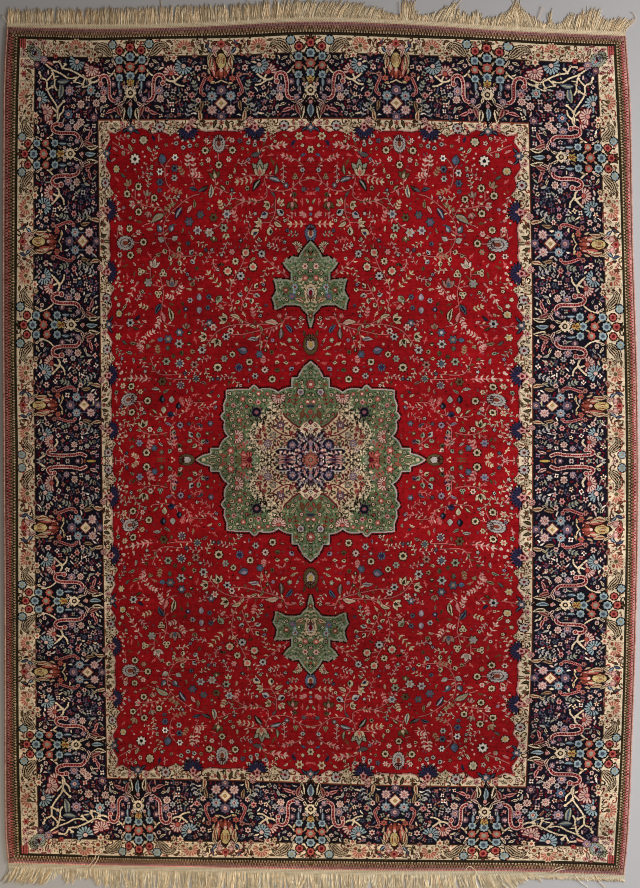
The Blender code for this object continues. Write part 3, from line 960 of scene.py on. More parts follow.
FIELD_FLOWERS = table("""
kind    across along size turn yarn  heart
ring    18.0   38.4  1.9  0    cream moss
frond   13.4   39.0  1.2  170  olive pink
wheel   21.4   43.0  1.9  0    blush maroon
rosette 26.0   40.0  1.8  0    pearl maroon
bud     15.6   42.8  1.2  0    olive moss
bud     9.0    43.4  1.3  140  lilac navy
ring    28.6   46.8  1.8  0    cream moss
star    33.6   44.2  2.3  0    blue  indigo
ring    43.6   44.2  2.2  0    cream moss
rosette 40.4   48.4  1.9  0    sage  mauve
bud     11.4   46.4  1.0  0    cream moss
bud     15.8   46.6  1.0  180  cream moss
frond   29.2   37.6  1.2  90   lilac navy
dot     31.2   38.4  .5   0    blush blush
frond   38.2   37.0  1.2  30   moss  olive
fern    22.2   47.4  1.8  90   pink  rose
frond   12.6   49.0  1.6  60   rose  pink
frond   46.6   32.4  1.3  150  navy  slate
frond   45.0   27.2  1.6  320  blush pink
frond   48.0   30.4  1.6  20   cream pink
rosette 47.2   17.4  1.6  0    slate lilac
rosette 48.6   12.6  1.2  0    olive cream
frond   46.4   21.4  1.4  80   rose  pink
frond   45.6   10.0  1.0  70   cream olive
bud     49.0   8.6   1.2  20   mauve navy
palmette 0     55.0  5.6  90   olive gold
frond   6.4    56.8  1.6  60   blush brown
frond   8.4    53.4  1.7  30   cream brown
frond   8.2    50.2  1.7  350  cream brown
frond   3.2    60.4  1.7  80   olive moss
frond   10.4   62.4  2.8  50   blue  navy
frond   14.2   60.4  3.2  92   olive lilac
frond   18.4   65.2  3.6  6    cream pink
frond   11.6   69.2  1.4  120  rose  pink
rosette 14.6   68.4  1.5  0    rose  pink
frond   8.0    67.2  1.6  170  pink  rose
frond   23.4   62.6  2.0  60   sand  olive
frond   27.2   63.4  1.9  20   cream olive
frond   32.6   66.2  1.7  55   cream sand
frond   35.4   68.2  2.8  20   cream sand
frond   37.4   71.6  1.6  110  cream rose
fern    26.8   69.6  2.4  80   pink  rose
tulip   41.0   67.2  2.3  20   cream moss
rosette 47.4   65.4  2.0  0    slate pearl
rosette 45.6   63.4  2.0  0    blush coral
rosette 37.4   61.6  1.8  0    blush maroon
rosette 39.6   58.8  2.1  0    pearl navy
tulip   44.2   56.0  2.3  290  cream moss
frond   27.0   57.4  2.9  0    pearl mauve
frond   23.4   54.6  1.7  90   cream coral
rosette 20.4   58.2  1.1  0    moss  cream
rosette 21.2   52.4  1.1  0    moss  cream
rosette 17.8   57.0  1.1  0    lilac mauve
rosette 18.2   51.4  1.3  0    olive navy
bud     31.6   52.2  2.1  10   slate lilac
ring    36.6   50.4  1.6  0    cream moss
rosette 24.0   50.4  2.0  0    slate blue
wheel   22.8   96.6  2.0  0    pearl navy
ring    26.8   90.8  2.1  0    cream rose
ring    38.6   89.0  2.2  0    cream rose
ring    30.2   97.2  2.0  0    cream rose
wheel   32.6   86.8  2.2  22   pearl navy
wheel   35.0   93.4  1.9  10   cream moss
frond   26.8   94.0  1.8  330  cream olive
frond   36.4   84.0  1.9  300  cream rose
frond   38.8   84.4  1.4  60   cream rose
frond   28.8   85.2  1.4  20   olive moss
bud     21.6   80.4  1.1  0    cream moss
bud     25.4   82.2  1.2  120  cream navy
bud     30.0   80.8  1.1  90   cream moss
bud     25.0   78.0  1.2  200  pearl moss
bud     32.8   78.2  1.2  20   pearl navy
bud     27.4   75.4  1.2  270  cream navy
bud     30.4   73.4  1.1  300  cream moss
bud     34.0   75.0  1.1  330  cream moss
fern    44.6   84.8  5.4  48   cream olive
frond   41.6   92.0  1.5  30   olive navy
frond   42.6   91.6  1.4  320  moss  navy
rosette 36.6   97.6  1.6  0    pink  rose
frond   17.6   92.2  1.2  45   pink  rose
frond   15.4   88.6  1.2  350  pink  rose
bud     42.8   76.4  1.8  310  sage  olive
rosette 47.6   77.4  1.5  0    slate maroon
rosette 48.2   72.4  1.4  0    slate maroon
fan     6.6    99.4  3.0  150  cream rose
frond   12.2   98.8  1.6  150  pink  rose
bud     42.2   73.0  1.0  0    pink  rose
frond   41.4   71.8  1.3  350  cream rose
palmette 0     105.6 4.4  90   blue  rust
dot     0      111.6 .8   0    cream cream
dot     0      113.8 .8   0    blue  blue
dot     0      116.2 1.0  0    blush blush
frond   1.6    119.4 1.6  60   cream olive
fern    6.0    109.6 4.2  0    cream rose
fern    3.0    113.4 1.6  30   pink  rose
bud     19.0   106.4 1.7  95   cream navy
bud     26.0   106.2 1.9  150  cream indigo
frond   15.0   109.6 2.6  210  cream sand
bud     14.0   114.6 1.8  40   pearl navy
bud     21.4   113.6 1.8  330  pearl indigo
tulip   13.8   119.0 1.8  140  cream rose
tulip   20.4   117.8 1.8  340  cream olive
tulip   24.4   110.2 1.9  20   cream sand
frond   17.6   122.6 1.7  50   slate olive
frond   26.0   104.0 1.2  300  pink  cream
frond   20.6   103.2 1.2  290  cream rose
tulip   8.6    117.4 2.2  270  olive pink
rosette 3.8    133.0 1.4  0    pearl slate
trefoil 7.2    130.0 1.5  90   sand  moss
rosette 11.4   126.4 1.4  0    slate cream
rosette 3.2    124.6 1.3  0    slate olive
rosette 7.6    122.4 1.3  0    olive navy
frond   1.2    129.4 1.4  0    cream rose
frond   17.0   128.8 3.2  15   slate pearl
frond   25.0   126.4 3.4  305  navy  sage
tulip   23.4   134.6 3.2  90   sage  moss
tulip   23.6   132.6 2.4  90   cream rose
fern    30.0   128.6 4.8  352  cream rose
frond   35.4   133.0 1.6  95   cream sand
frond   30.4   133.0 1.3  60   cream pink
frond   16.2   133.4 2.6  95   olive sage
fern    16.0   143.6 4.6  172  blush rose
fern    10.4   138.4 3.0  20   pink  rose
frond   25.2   140.4 3.0  160  slate olive
fern    27.6   119.6 4.6  8    pink  olive
frond   32.6   122.6 1.3  70   pink  rose
rosette 39.0   114.2 2.3  0    pearl slate
rosette 45.2   112.8 2.1  0    olive maroon
rosette 40.4   108.2 2.2  0    sage  maroon
rosette 47.2   106.2 2.4  0    pearl sand
tulip   39.4   104.4 1.5  270  cream olive
tulip   45.2   103.2 1.5  280  olive cream
frond   35.6   107.8 1.6  80   cream rose
fern    35.0   112.6 2.6  70   pink  rose
fern    41.6   117.6 2.2  70   cream olive
palmette 42.6  145.0 4.8  90   pearl rust
ring    42.6   135.6 1.8  0    cream moss
ring    36.2   142.0 1.9  0    cream moss
ring    49.0   142.0 1.9  0    cream moss
rosette 36.4   146.6 1.5  0    blush rose
rosette 48.4   146.6 1.5  0    blush rose
rosette 38.0   138.0 1.5  0    blush rose
rosette 47.6   137.8 1.5  0    blush rose
rosette 5.4    148.2 2.3  0    cream rust
frond   8.0    144.8 2.0  300  indigo navy
rosette 0      142.0 2.0  0    cream moss
frond   3.6    139.4 1.6  330  blue  indigo
tulip   0      137.4 1.4  270  pink  rose
palmette 25.4  149.0 3.4  270  slate navy
ring    21.6   146.6 1.1  0    pearl maroon
ring    25.8   144.4 1.1  0    pearl maroon
ring    28.8   145.4 1.1  0    pearl maroon
ring    29.8   148.6 1.1  0    pearl maroon
frond   12.0   148.4 1.4  30   cream rose
tulip   44.6   131.4 2.2  80   olive cream
frond   41.0   125.6 2.0  40   olive cream
frond   41.6   123.4 1.8  300  pink  rose
frond   46.6   124.2 3.4  96   cream slate
frond   49.6   125.6 2.6  150  navy  olive
palmette 58.6  0     4.4  0    olive pearl
ring    78.0   3.4   2.0  0    cream moss
frond   52.4   16.4  2.0  30   slate navy
bud     53.0   11.6  1.3  80   sage  moss
bud     56.6   12.0  1.4  60   pearl navy
bud     50.8   8.6   1.2  130  sage  moss
bud     54.6   6.6   1.2  320  cream moss
bud     57.0   9.0   1.2  350  sage  olive
bud     52.0   5.4   .9   240  pink  olive
bud     64.8   13.0  1.2  100  sage  navy
bud     64.2   10.2  1.2  170  indigo navy
bud     62.0   6.8   1.2  200  olive navy
bud     66.4   8.0   1.2  20   pink  olive
bud     61.8   4.6   1.1  220  blush olive
bud     66.6   4.2   1.1  300  sage  moss
fern    64.4   8.6   3.2  80   pink  rose
wheel   61.6   16.6  1.8  0    lilac maroon
frond   67.4   17.0  2.0  20   lilac mauve
trefoil 71.4   14.4  1.5  90   sage  moss
rosette 76.2   14.6  1.6  0    blush olive
tulip   79.6   17.4  2.2  80   cream moss
frond   81.6   14.0  1.6  10   cream olive
rosette 74.2   5.6   1.9  0    slate blue
rosette 81.4   8.0   2.1  0    lilac blue
frond   71.2   7.4   1.6  40   pearl moss
rosette 70.6   3.6   1.4  0    olive lilac
frond   84.6   9.8   1.5  60   olive moss
frond   85.2   6.2   1.5  330  sage  moss
frond   77.0   9.0   1.6  110  pink  rose
fern    76.4   6.6   2.6  120  pink  rose
fern    83.0   1.6   2.0  30   cream rose
bud     62.4   25.6  1.4  90   navy  slate
bud     65.6   28.6  1.5  95   pearl sage
bud     70.2   28.8  1.6  90   navy  slate
bud     69.4   24.0  1.5  270  cream sage
bud     66.2   21.8  1.5  200  indigo navy
ring    77.2   28.2  1.9  0    cream moss
ring    85.2   35.8  1.9  0    cream moss
ring    85.0   23.4  1.9  0    cream moss
rosette 80.6   32.6  1.4  0    cream rust
rosette 80.2   24.4  1.4  0    blush rose
rosette 89.6   23.8  1.7  0    cream rose
rosette 89.6   36.8  1.7  0    cream rose
palmette 86.6  29.8  4.8  180  pearl rust
fern    57.6   25.6  3.2  110  rose  pink
fern    60.4   27.4  1.8  70   rose  pink
frond   74.0   23.0  2.0  40   olive cream
star    61.6   46.2  2.6  0    pearl slate
star    53.8   38.8  2.2  0    sage  slate
star    61.2   35.6  2.3  10   pearl mauve
rosette 54.6   45.6  2.2  0    dusk  maroon
rosette 70.0   37.4  2.3  0    olive maroon
rosette 68.0   47.2  2.2  0    sage  moss
rosette 64.6   49.6  1.2  0    olive moss
frond   74.4   44.2  1.6  100  sand  moss
frond   73.4   33.6  2.2  0    pearl olive
frond   68.4   32.8  1.8  150  sage  moss
frond   50.6   36.6  2.0  20   dusk  maroon
frond   58.4   32.6  1.4  100  pink  maroon
frond   66.4   36.4  1.4  80   dusk  olive
fern    80.6   39.4  5.4  5    blush rose
frond   85.0   43.2  1.6  100  blush rose
frond   78.8   48.4  1.5  30   olive moss
frond   84.0   48.0  1.7  80   pearl olive
dot     90.0   43.4  .8   0    blush blush
dot     88.6   39.8  .8   0    blush blush
dot     88.0   12.0  .8   0    blush blush
dot     89.4   17.0  .8   0    sand  sand
tulip   50.6   58.8  2.1  0    cream moss
rosette 51.0   52.6  2.3  0    pearl maroon
rosette 61.6   61.0  2.2  0    slate pearl
rosette 61.8   55.6  2.4  0    pearl moss
rosette 67.0   57.8  2.3  0    slate sand
bud     70.8   57.6  1.3  0    blue  slate
bud     67.2   53.6  1.2  270  olive slate
bud     57.0   60.6  1.0  180  moss  cream
bud     57.2   55.4  1.0  180  moss  cream
bud     60.6   51.2  1.2  270  olive moss
tulip   58.4   64.0  1.6  90   dusk  olive
frond   68.0   61.8  1.6  30   pink  rose
bud     52.2   77.2  1.5  90   lilac pearl
bud     52.2   71.4  1.5  270  lilac pearl
rosette 56.4   75.8  1.5  0    pearl indigo
rosette 58.6   71.8  1.4  0    indigo pearl
frond   60.2   74.4  1.4  60   olive moss
frond   61.6   70.4  1.4  300  olive moss
tulip   55.4   83.4  1.2  90   sand  moss
frond   51.6   81.2  1.6  170  cream rose
frond   57.0   80.8  1.6  10   cream rose
frond   58.6   68.4  1.4  280  dusk  olive
tulip   65.0   84.0  2.5  90   dusk  slate
rosette 76.4   84.0  2.3  0    sage  lilac
trefoil 69.2   88.2  2.0  90   cream moss
trefoil 80.0   89.0  1.9  180  cream moss
tulip   73.4   92.6  2.2  100  blush sage
trefoil 71.6   78.8  1.9  150  cream moss
fern    61.6   80.0  2.4  120  blush rose
fern    65.4   77.2  2.2  20   blush rose
frond   66.0   69.4  3.6  75   cream moss
frond   71.6   71.8  3.2  300  slate navy
frond   69.6   68.4  3.0  70   rose  pink
fern    71.4   66.0  2.2  300  blush rose
fern    78.0   72.8  2.6  20   cream olive
fern    84.6   79.6  4.6  300  blush rose
frond   81.8   83.4  1.6  300  pink  rose
frond   83.2   92.4  1.3  60   blush rose
ring    91.2   70.4  1.9  0    cream gold
frond   88.2   73.0  2.0  310  cream maroon
rosette 85.4   65.8  2.3  0    pearl navy
frond   81.8   68.2  2.0  140  navy  indigo
frond   82.4   63.2  1.8  210  moss  olive
frond   78.6   66.2  1.6  30   blush rose
rosette 91.8   60.0  1.9  0    cream gold
frond   88.2   57.0  1.9  220  olive slate
frond   83.8   56.4  2.2  190  sand  moss
frond   86.2   51.8  2.0  20   sage  moss
fern    79.0   57.4  3.6  290  blush rose
fern    76.0   60.4  2.4  150  blush rose
fern    80.4   53.4  2.4  60   pink  rose
fern    72.0   52.4  2.0  80   sand  olive
trefoil 76.8   54.4  1.2  60   sand  olive
bud     55.8   97.6  1.2  130  pearl navy
bud     61.6   98.8  1.3  90   cream moss
bud     68.4   98.0  1.2  60   cream moss
bud     65.8   94.8  1.1  270  cream navy
bud     61.2   92.8  1.2  260  cream moss
bud     55.2   93.4  1.2  220  pearl indigo
bud     71.4   96.4  1.0  10   sand  moss
bud     51.4   96.6  1.0  180  cream moss
bud     53.2   90.4  .9   270  olive moss
fern    62.0   95.8  2.4  10   sand  rose
frond   65.4   92.4  1.4  300  cream olive
rosette 80.6   98.4  1.6  0    sand  rose
rosette 90.6   96.6  1.5  0    blush maroon
ring    85.0   96.4  1.9  0    cream moss
palmette 87.6  101.8 5.2  180  pearl rust
ring    78.6   102.2 1.9  0    cream moss
ring    85.4   108.2 1.8  0    cream olive
rosette 90.2   108.4 1.6  0    blush rose
rosette 81.0   106.4 1.5  0    blush rose
bud     65.2   108.2 1.6  120  slate pearl
bud     70.8   108.0 1.6  60   slate pearl
bud     63.6   103.8 1.4  150  pearl sage
bud     70.0   103.2 1.5  30   pearl sage
frond   61.6   101.4 1.4  30   sand  rose
frond   73.6   101.6 1.4  330  blush rose
frond   75.6   107.6 1.8  0    cream rose
frond   59.8   107.4 1.4  110  sand  olive
frond   61.6   114.6 3.4  300  indigo pearl
frond   64.6   118.2 2.4  330  sand  olive
fern    65.4   118.0 2.8  330  sand  olive
frond   71.8   112.4 4.0  330  sage  sand
rosette 56.8   111.0 2.3  0    slate mauve
rosette 52.8   107.2 2.3  0    pearl mauve
rosette 51.4   114.0 2.0  0    slate olive
frond   56.4   116.2 2.2  300  blush rose
frond   54.4   118.8 2.2  90   sand  olive
frond   55.6   104.2 1.4  60   cream olive
ring    80.8   126.4 1.9  0    cream moss
ring    86.4   123.2 1.9  0    cream moss
ring    73.2   121.4 1.8  0    cream moss
ring    80.8   115.4 1.9  0    cream moss
tulip   76.6   123.6 1.7  100  dusk  sage
tulip   84.0   118.6 1.7  340  blush rose
tulip   76.2   114.2 1.6  290  dusk  pink
tulip   86.0   128.0 1.8  60   sand  dusk
dot     80.6   122.8 .7   0    blush blush
dot     83.6   124.8 .6   0    blush blush
dot     80.8   119.6 .7   0    cream cream
dot     76.6   119.8 .6   0    cream cream
dot     74.0   118.2 .6   0    cream cream
rosette 63.2   139.0 1.8  0    white indigo
rosette 63.4   134.2 1.9  0    slate navy
rosette 63.6   130.0 1.7  0    pearl moss
rosette 70.4   132.8 1.9  0    white indigo
rosette 70.4   128.2 2.0  0    slate indigo
bud     69.2   138.2 2.1  80   slate blue
fern    63.4   124.6 3.0  200  sand  rose
fern    57.4   137.0 2.8  95   blush olive
fern    54.4   135.0 3.6  80   blush rose
fern    52.6   131.4 2.4  10   blush rose
fern    60.0   132.6 2.2  60   sand  olive
frond   50.8   124.6 2.0  330  slate olive
frond   55.0   125.0 2.4  15   slate navy
wheel   82.4   138.4 2.7  0    white navy
dot     77.6   139.4 .5   0    blush blush
dot     79.0   134.6 .5   0    blush blush
dot     82.4   133.8 .5   0    blush blush
dot     86.0   135.0 .5   0    blush blush
dot     77.8   136.6 .5   0    blush blush
dot     78.6   141.6 .5   0    blush blush
ring    92.0   134.0 1.9  0    cream gold
frond   88.2   131.2 1.9  215  olive slate
ring    78.2   147.0 2.2  0    cream sage
frond   75.2   142.8 2.0  230  cream slate
frond   73.6   148.0 1.8  70   indigo navy
palmette 58.8  149.6 3.6  270  slate navy
ring    54.6   147.6 1.2  0    lilac maroon
ring    56.2   144.2 1.2  0    pearl maroon
ring    59.2   143.4 1.2  0    pearl maroon
ring    62.6   145.4 1.2  0    pearl maroon
frond   84.4   143.4 2.0  240  cream olive
rosette 88.2   141.0 1.3  0    sage  rose
rosette 89.0   143.8 1.1  0    blush olive
frond   92.6   142.6 1.8  30   pink  rose
frond   93.6   137.8 1.6  330  blush rose
rosette 88.4   117.2 1.0  0    lilac rose
rosette 90.8   112.4 1.0  0    pink  rose
""")


FIELD_CORNER = (94, 150)  # the field's far corner, past its scalloped edge
FIELD_DASHES = dashes(("rose", "pink", "maroon", "cream", "ruby", "olive", "maroon", "slate"))
FIELD_STREWN = ((1500, 0.9, field_spray), (2200, 1.9, field_sprig), (2200, 1.0, FIELD_DASHES))


def draw_field():
    """The crimson field: its stems and flowers, the pendant, the medallion and what is strewn between."""
    rng = random.Random(3)
    for points in FIELD_STEMS:
        stem(points, "maroon", 0.85)
    for points in FIELD_STEMS:
        stem(points, "rose", 0.42)
    draw(FIELD_FLOWERS, "maroon", 0.9)
    for points in FIELD_STEMS:
        sprouts(points, rng)
    draw_pendant()
    draw_medallion()
    strew(FIELD_STREWN, MIDDLE, FIELD_CORNER, ("crimson",), rng)


# ---------------------------------------------------------------------------
# The borders. Two units, a and b, take turns along the rug. A unit's places are p along the
# border from its centre and q in from the guard stripes, and it has two like halves.
# ---------------------------------------------------------------------------
SIDE_SCALE = 0.87  # units on the sides are packed closer than on the ends
SIDE_SIZE = 0.93  # and their motifs are smaller
PAST_MIRROR = 6.0  # a motif that lies farther past the mirror line doesn't show
# Where the units' centres are along the sides and the ends
SIDE_A = (65.8, 140.9)
SIDE_B = (29.3, 102.7)
END_A = (0.0, 84.3)
END_B = (41.3,)


def bordered(side, centre, p, q):
    """Where a unit's place lies in the chart."""
    if side:
        return SIDE_IVORY - q, centre + p * SIDE_SCALE
    depth = q if q < BAND else BAND + (q - BAND) * NAVY_END / NAVY_SIDE
    return centre + p, END_IVORY - depth


def facing(side, turn, flip):
    """A direction in the border, from its inward normal, as degrees from +across."""
    return 180 - turn * flip if side else turn * flip - 90


def draw_unit(rows, side, centre, rim):
    """The motifs of a unit's two halves."""
    for row in rows:
        for flip in (1, -1) if row["p"] else (1,):
            a, t = bordered(side, centre, row["p"] * flip, row["q"])
            if min(a, t) < -PAST_MIRROR:
                continue
            extra = {"flip": -flip if side else flip} if row["kind"] == "paisley" else {}
            put(row, a, t, SIDE_SIZE if side else 1.0, facing(side, row["turn"], flip), rim, **extra)


def border_path(side, centre, flip, places):
    """A line of a unit's half, as places in the chart."""
    return [bordered(side, centre, p * flip, q) for p, q in places]


def border_line(side, centre, places, yarn, width):
    """A stem in each of a unit's halves."""
    for flip in (1, -1):
        stem(border_path(side, centre, flip, places), yarn, width)


# Unit a's lines
SCROLL_PATH = (
    (15.6, 22.4), (16.2, 19.6), (14.6, 17.6), (12.2, 18.2), (11.2, 20.8), (11.0, 24.4), (11.2, 28.2),
    (10.4, 30.6), (8.2, 31.6), (6.4, 30.2),
)
SCROLL_FOOT = ((10.4, 30.0), (8.4, 32.8), (5.6, 33.2), (3.9, 35.6), (3.8, 39.4))
BRACKET = ((7.2, 9.6), (7.2, 13.6), (9.0, 16.6), (11.4, 18.8), (13.0, 17.2))
ANTLER = ((15.4, 18.0), (17.4, 20.8), (20.6, 21.6), (23.4, 19.4), (25.2, 17.6))
ANTLER_FORK = ((20.6, 21.6), (23.0, 23.6), (25.4, 23.8))
ANTLER_TIP = ((21.6, 21.2), (20.4, 18.6))
VASE = table("""
kind    p    q    size turn yarn  heart
tulip   0    21.2 1.5  180  gold  rust
tulip   0    23.4 1.5  0    gold  rust
ring    0    27.2 2.9  0    ivory umber
dot     0    27.2 .65  0    cream cream
frond   1.9  24.6 1.7  30   white umber
frond   2.6  30.4 1.9  20   ivory umber
frond   0    37.4 6.2  0    blush blush
frond   0    37.4 5.2  0    maroon maroon
frond   0    37.4 4.4  0    pearl pearl
frond   0    37.4 3.9  0    maroon maroon
frond   0    37.6 3.2  0    powder slate
dot     0    33.2 .9   0    pink  pink
frond   3.6  38.8 3.4  8    ivory umber
frond   5.6  37.0 3.0  340  dusk  wine
frond   4.9  33.2 2.2  60   blush umber
daisy   6.6  30.6 1.5  0    lilac coral
rosette 5.0  28.4 1.0  0    mauve blush
rosette 3.2  24.0 .9   0    blush coral
""")
# The columns of rings over the vase; the side's first unit has its own
END_COLUMNS = table("""
kind    p    q    size turn yarn  heart
tulip   0    1.4  1.8  180  brown olive
ring    0    3.6  2.0  0    coral wine
ring    0    8.2  2.3  0    powder slate
ring    0    13.4 2.4  0    coral sage
ring    0    18.2 2.2  0    powder slate
ring    5.4  5.2  1.9  0    coral wine
frond   5.8  2.2  1.3  270  rust  blush
ring    5.6  9.8  2.1  0    powder slate
ring    5.6  14.4 2.0  0    coral sage
ring    5.6  19.2 2.0  0    powder slate
frond   5.6  23.4 2.4  0    slate powder
frond   5.0  27.4 2.2  0    pearl slate
ring    9.2  2.2  2.0  0    powder sage
frond   2.8  15.8 1.5  150  sand  cream
frond   8.3  17.2 1.6  150  sand  cream
frond   2.8  11.0 1.3  150  cream sand
frond   2.9  5.4  1.5  20   moss  brown
frond   3.4  21.6 1.4  150  sand  brown
dot     8.0  11.8 .6   0    blush blush
dot     8.2  8.4  .5   0    pearl pearl
""")
SIDE_COLUMNS = table("""
kind    p    q    size turn yarn  heart
tulip   0    1.2  1.6  180  moss  olive
ring    0    3.4  2.0  0    coral wine
ring    0    8.0  2.3  0    powder slate
ring    0    13.4 2.3  0    coral sage
ring    0    18.8 2.2  0    powder slate
ring    5.0  5.0  1.9  0    coral wine
frond   5.4  2.0  1.3  270  rust  blush
ring    5.0  9.8  2.1  0    powder slate
ring    5.0  15.0 2.1  0    coral sage
ring    5.0  20.2 2.1  0    powder slate
frond   5.4  24.6 2.3  0    slate powder
frond   5.0  28.4 2.0  0    pearl slate
ring    9.4  1.8  2.1  0    powder sage
frond   2.6  16.6 1.5  150  sand  cream
frond   2.6  11.0 1.3  150  cream rust
dot     8.0  12.2 .6   0    blush blush
""")
UNIT_A = table("""
kind    p    q    size turn yarn  heart rim
paisley 14.2 4.6  4.0  90   cream umber umber
rosette 18.6 6.8  2.0  0    cream wine  brown
rosette 22.2 5.4  2.5  0    cream rust  brown
rosette 20.8 9.0  1.9  0    ivory coral brown
rosette 17.4 9.6  1.3  0    cream rust  brown
rosette 21.6 1.6  1.3  0    ivory coral brown
frond   18.6 1.4  1.5  260  brown olive brown
fan     19.6 17.2 3.9  180  blush coral wine
frond   8.6  10.4 1.7  330  ivory brown ink
rosette 10.2 12.6 1.2  0    blush maroon ink
frond   12.2 10.6 1.7  60   ivory umber ink
frond   12.8 14.0 1.5  120  pearl umber ink
daisy   9.0  22.6 1.7  0    mauve pink  ink
daisy   13.8 26.0 2.4  0    lilac coral ink
daisy   14.4 30.4 2.0  0    blush coral ink
rosette 17.2 28.0 1.5  0    pearl slate ink
frond   13.0 34.4 1.8  70   ivory umber ink
frond   11.0 37.4 2.6  70   pink  wine  ink
frond   15.4 35.8 1.8  20   pearl sage  ink
rosette 8.0  36.0 1.3  0    pink  wine  ink
""")
UNIT_B = table("""
kind    p    q    size turn yarn  heart rim
frond   3.4  2.6  1.8  60   brown rust  umber
rosette 0    2.8  2.1  0    coral wine  maroon
rosette 2.8  4.6  1.6  0    pink  blush maroon
frond   6.6  2.6  2.0  200  indigo slate ink
frond   5.6  5.6  2.0  140  indigo powder ink
frond   8.6  4.0  1.6  10   umber brown umber
frond   0    13.6 7.4  0    maroon maroon umber
frond   3.4  13.8 4.4  350  coral cream maroon
frond   4.8  12.0 3.2  6    cream rust  umber
frond   2.6  18.0 2.4  332  coral blush maroon
frond   5.2  8.6  2.1  30   cream olive umber
frond   3.4  7.0  2.1  150  blush rust  umber
frond   5.6  16.4 1.6  340  sand  cream umber
pod     0    10.8 2.6  0    straw cream umber
frond   1.2  10.8 2.2  6    straw rust  rust
tulip   0    17.8 2.2  0    rust  coral maroon
dot     0    15.8 .8   0    blush blush blush
frond   4.0  22.4 1.7  90   cream gold  ink
frond   9.0  26.8 1.4  20   sage  slate ink
fern    12.4 33.4 4.6  172  sage  slate ink
fern    15.6 37.6 3.0  200  pearl slate ink
fern    12.0 24.6 2.4  160  sage  slate ink
rosette 13.8 28.8 1.6  0    pink  wine  ink
rosette 10.8 31.6 1.4  0    blush wine  ink
rosette 5.2  20.2 1.6  0    coral olive maroon
rosette 8.2  18.2 1.4  0    dusk  wine  maroon
daisy   0    26.4 2.2  0    mauve coral slate
daisy   4.4  29.4 2.2  0    powder wine slate
diamond 0    33.2 2.7  0    ivory gold  rust
daisy   4.4  36.6 2.2  0    blush coral mauve
daisy   0    40.3 1.8  0    mauve coral slate
frond   9.0  34.6 2.6  8    sand  brown umber
frond   10.4 39.4 2.9  172  cream rust  umber
frond   11.8 36.4 1.6  160  cream umber ink
fan     17.2 4.4  3.8  200  coral olive cream
fan     17.6 13.4 4.1  30   powder blush navy
daisy   13.4 42.0 1.7  0    pink  wine  ink
frond   12.4 12.0 1.5  60   pearl umber ink
rosette 11.0 14.6 1.6  0    blush wine  ink
rosette 12.4 8.0  1.3  0    dusk  wine  brown
frond   13.0 2.8  1.7  340  brown rust  umber
frond   12.0 5.6  1.4  40   rust  cream umber
""")
# Unit b's lines
SMALL_RED_SCROLL = ((8.2, 28.6), (9.9, 27.4), (9.6, 25.0), (8.6, 22.4), (7.6, 20.0))
LATTICE = ((4.4, 29.4), (4.4, 36.6))
LATTICE_SLANT = ((0, 26.4), (4.4, 29.4), (0, 33.2), (4.4, 36.6), (0, 40.3))
B_ARMS = ((0, 21.0), (1.4, 22.0), (2.8, 22.4))
# The unit in the middle of each side
MID_SIDE = table("""
kind    p    q    size turn yarn  heart rim
ring    3.6  1.8  2.0  0    powder sage brown
paisley 9.8  4.6  3.7  90   cream umber umber
rosette 13.4 7.0  2.1  0    cream wine  brown
fan     11.4 16.6 3.7  180  blush coral wine
frond   4.4  12.6 1.7  330  ivory umber ink
rosette 1.8  20.0 1.2  0    blush wine  ink
daisy   7.2  24.0 1.7  0    lilac coral ink
daisy   9.6  28.0 1.9  0    blush coral ink
rosette 0    24.6 1.4  0    pearl wine  ink
frond   0    36.8 3.0  0    gold  rust  ink
frond   5.2  37.6 2.4  20   blush wine  ink
rosette 8.6  34.4 1.5  0    pearl sage  ink
rosette 0    29.6 1.5  0    mauve blush ink
""")
MID_SCROLL = (
    (6.4, 18.0), (6.2, 15.0), (4.0, 14.6), (3.2, 18.0), (3.0, 23.0), (3.4, 28.0), (4.4, 31.0), (3.0, 33.6),
)
MID_ANTLER = ((1.6, 11.0), (3.4, 13.4), (7.4, 17.4), (10.4, 19.8), (12.6, 19.2))
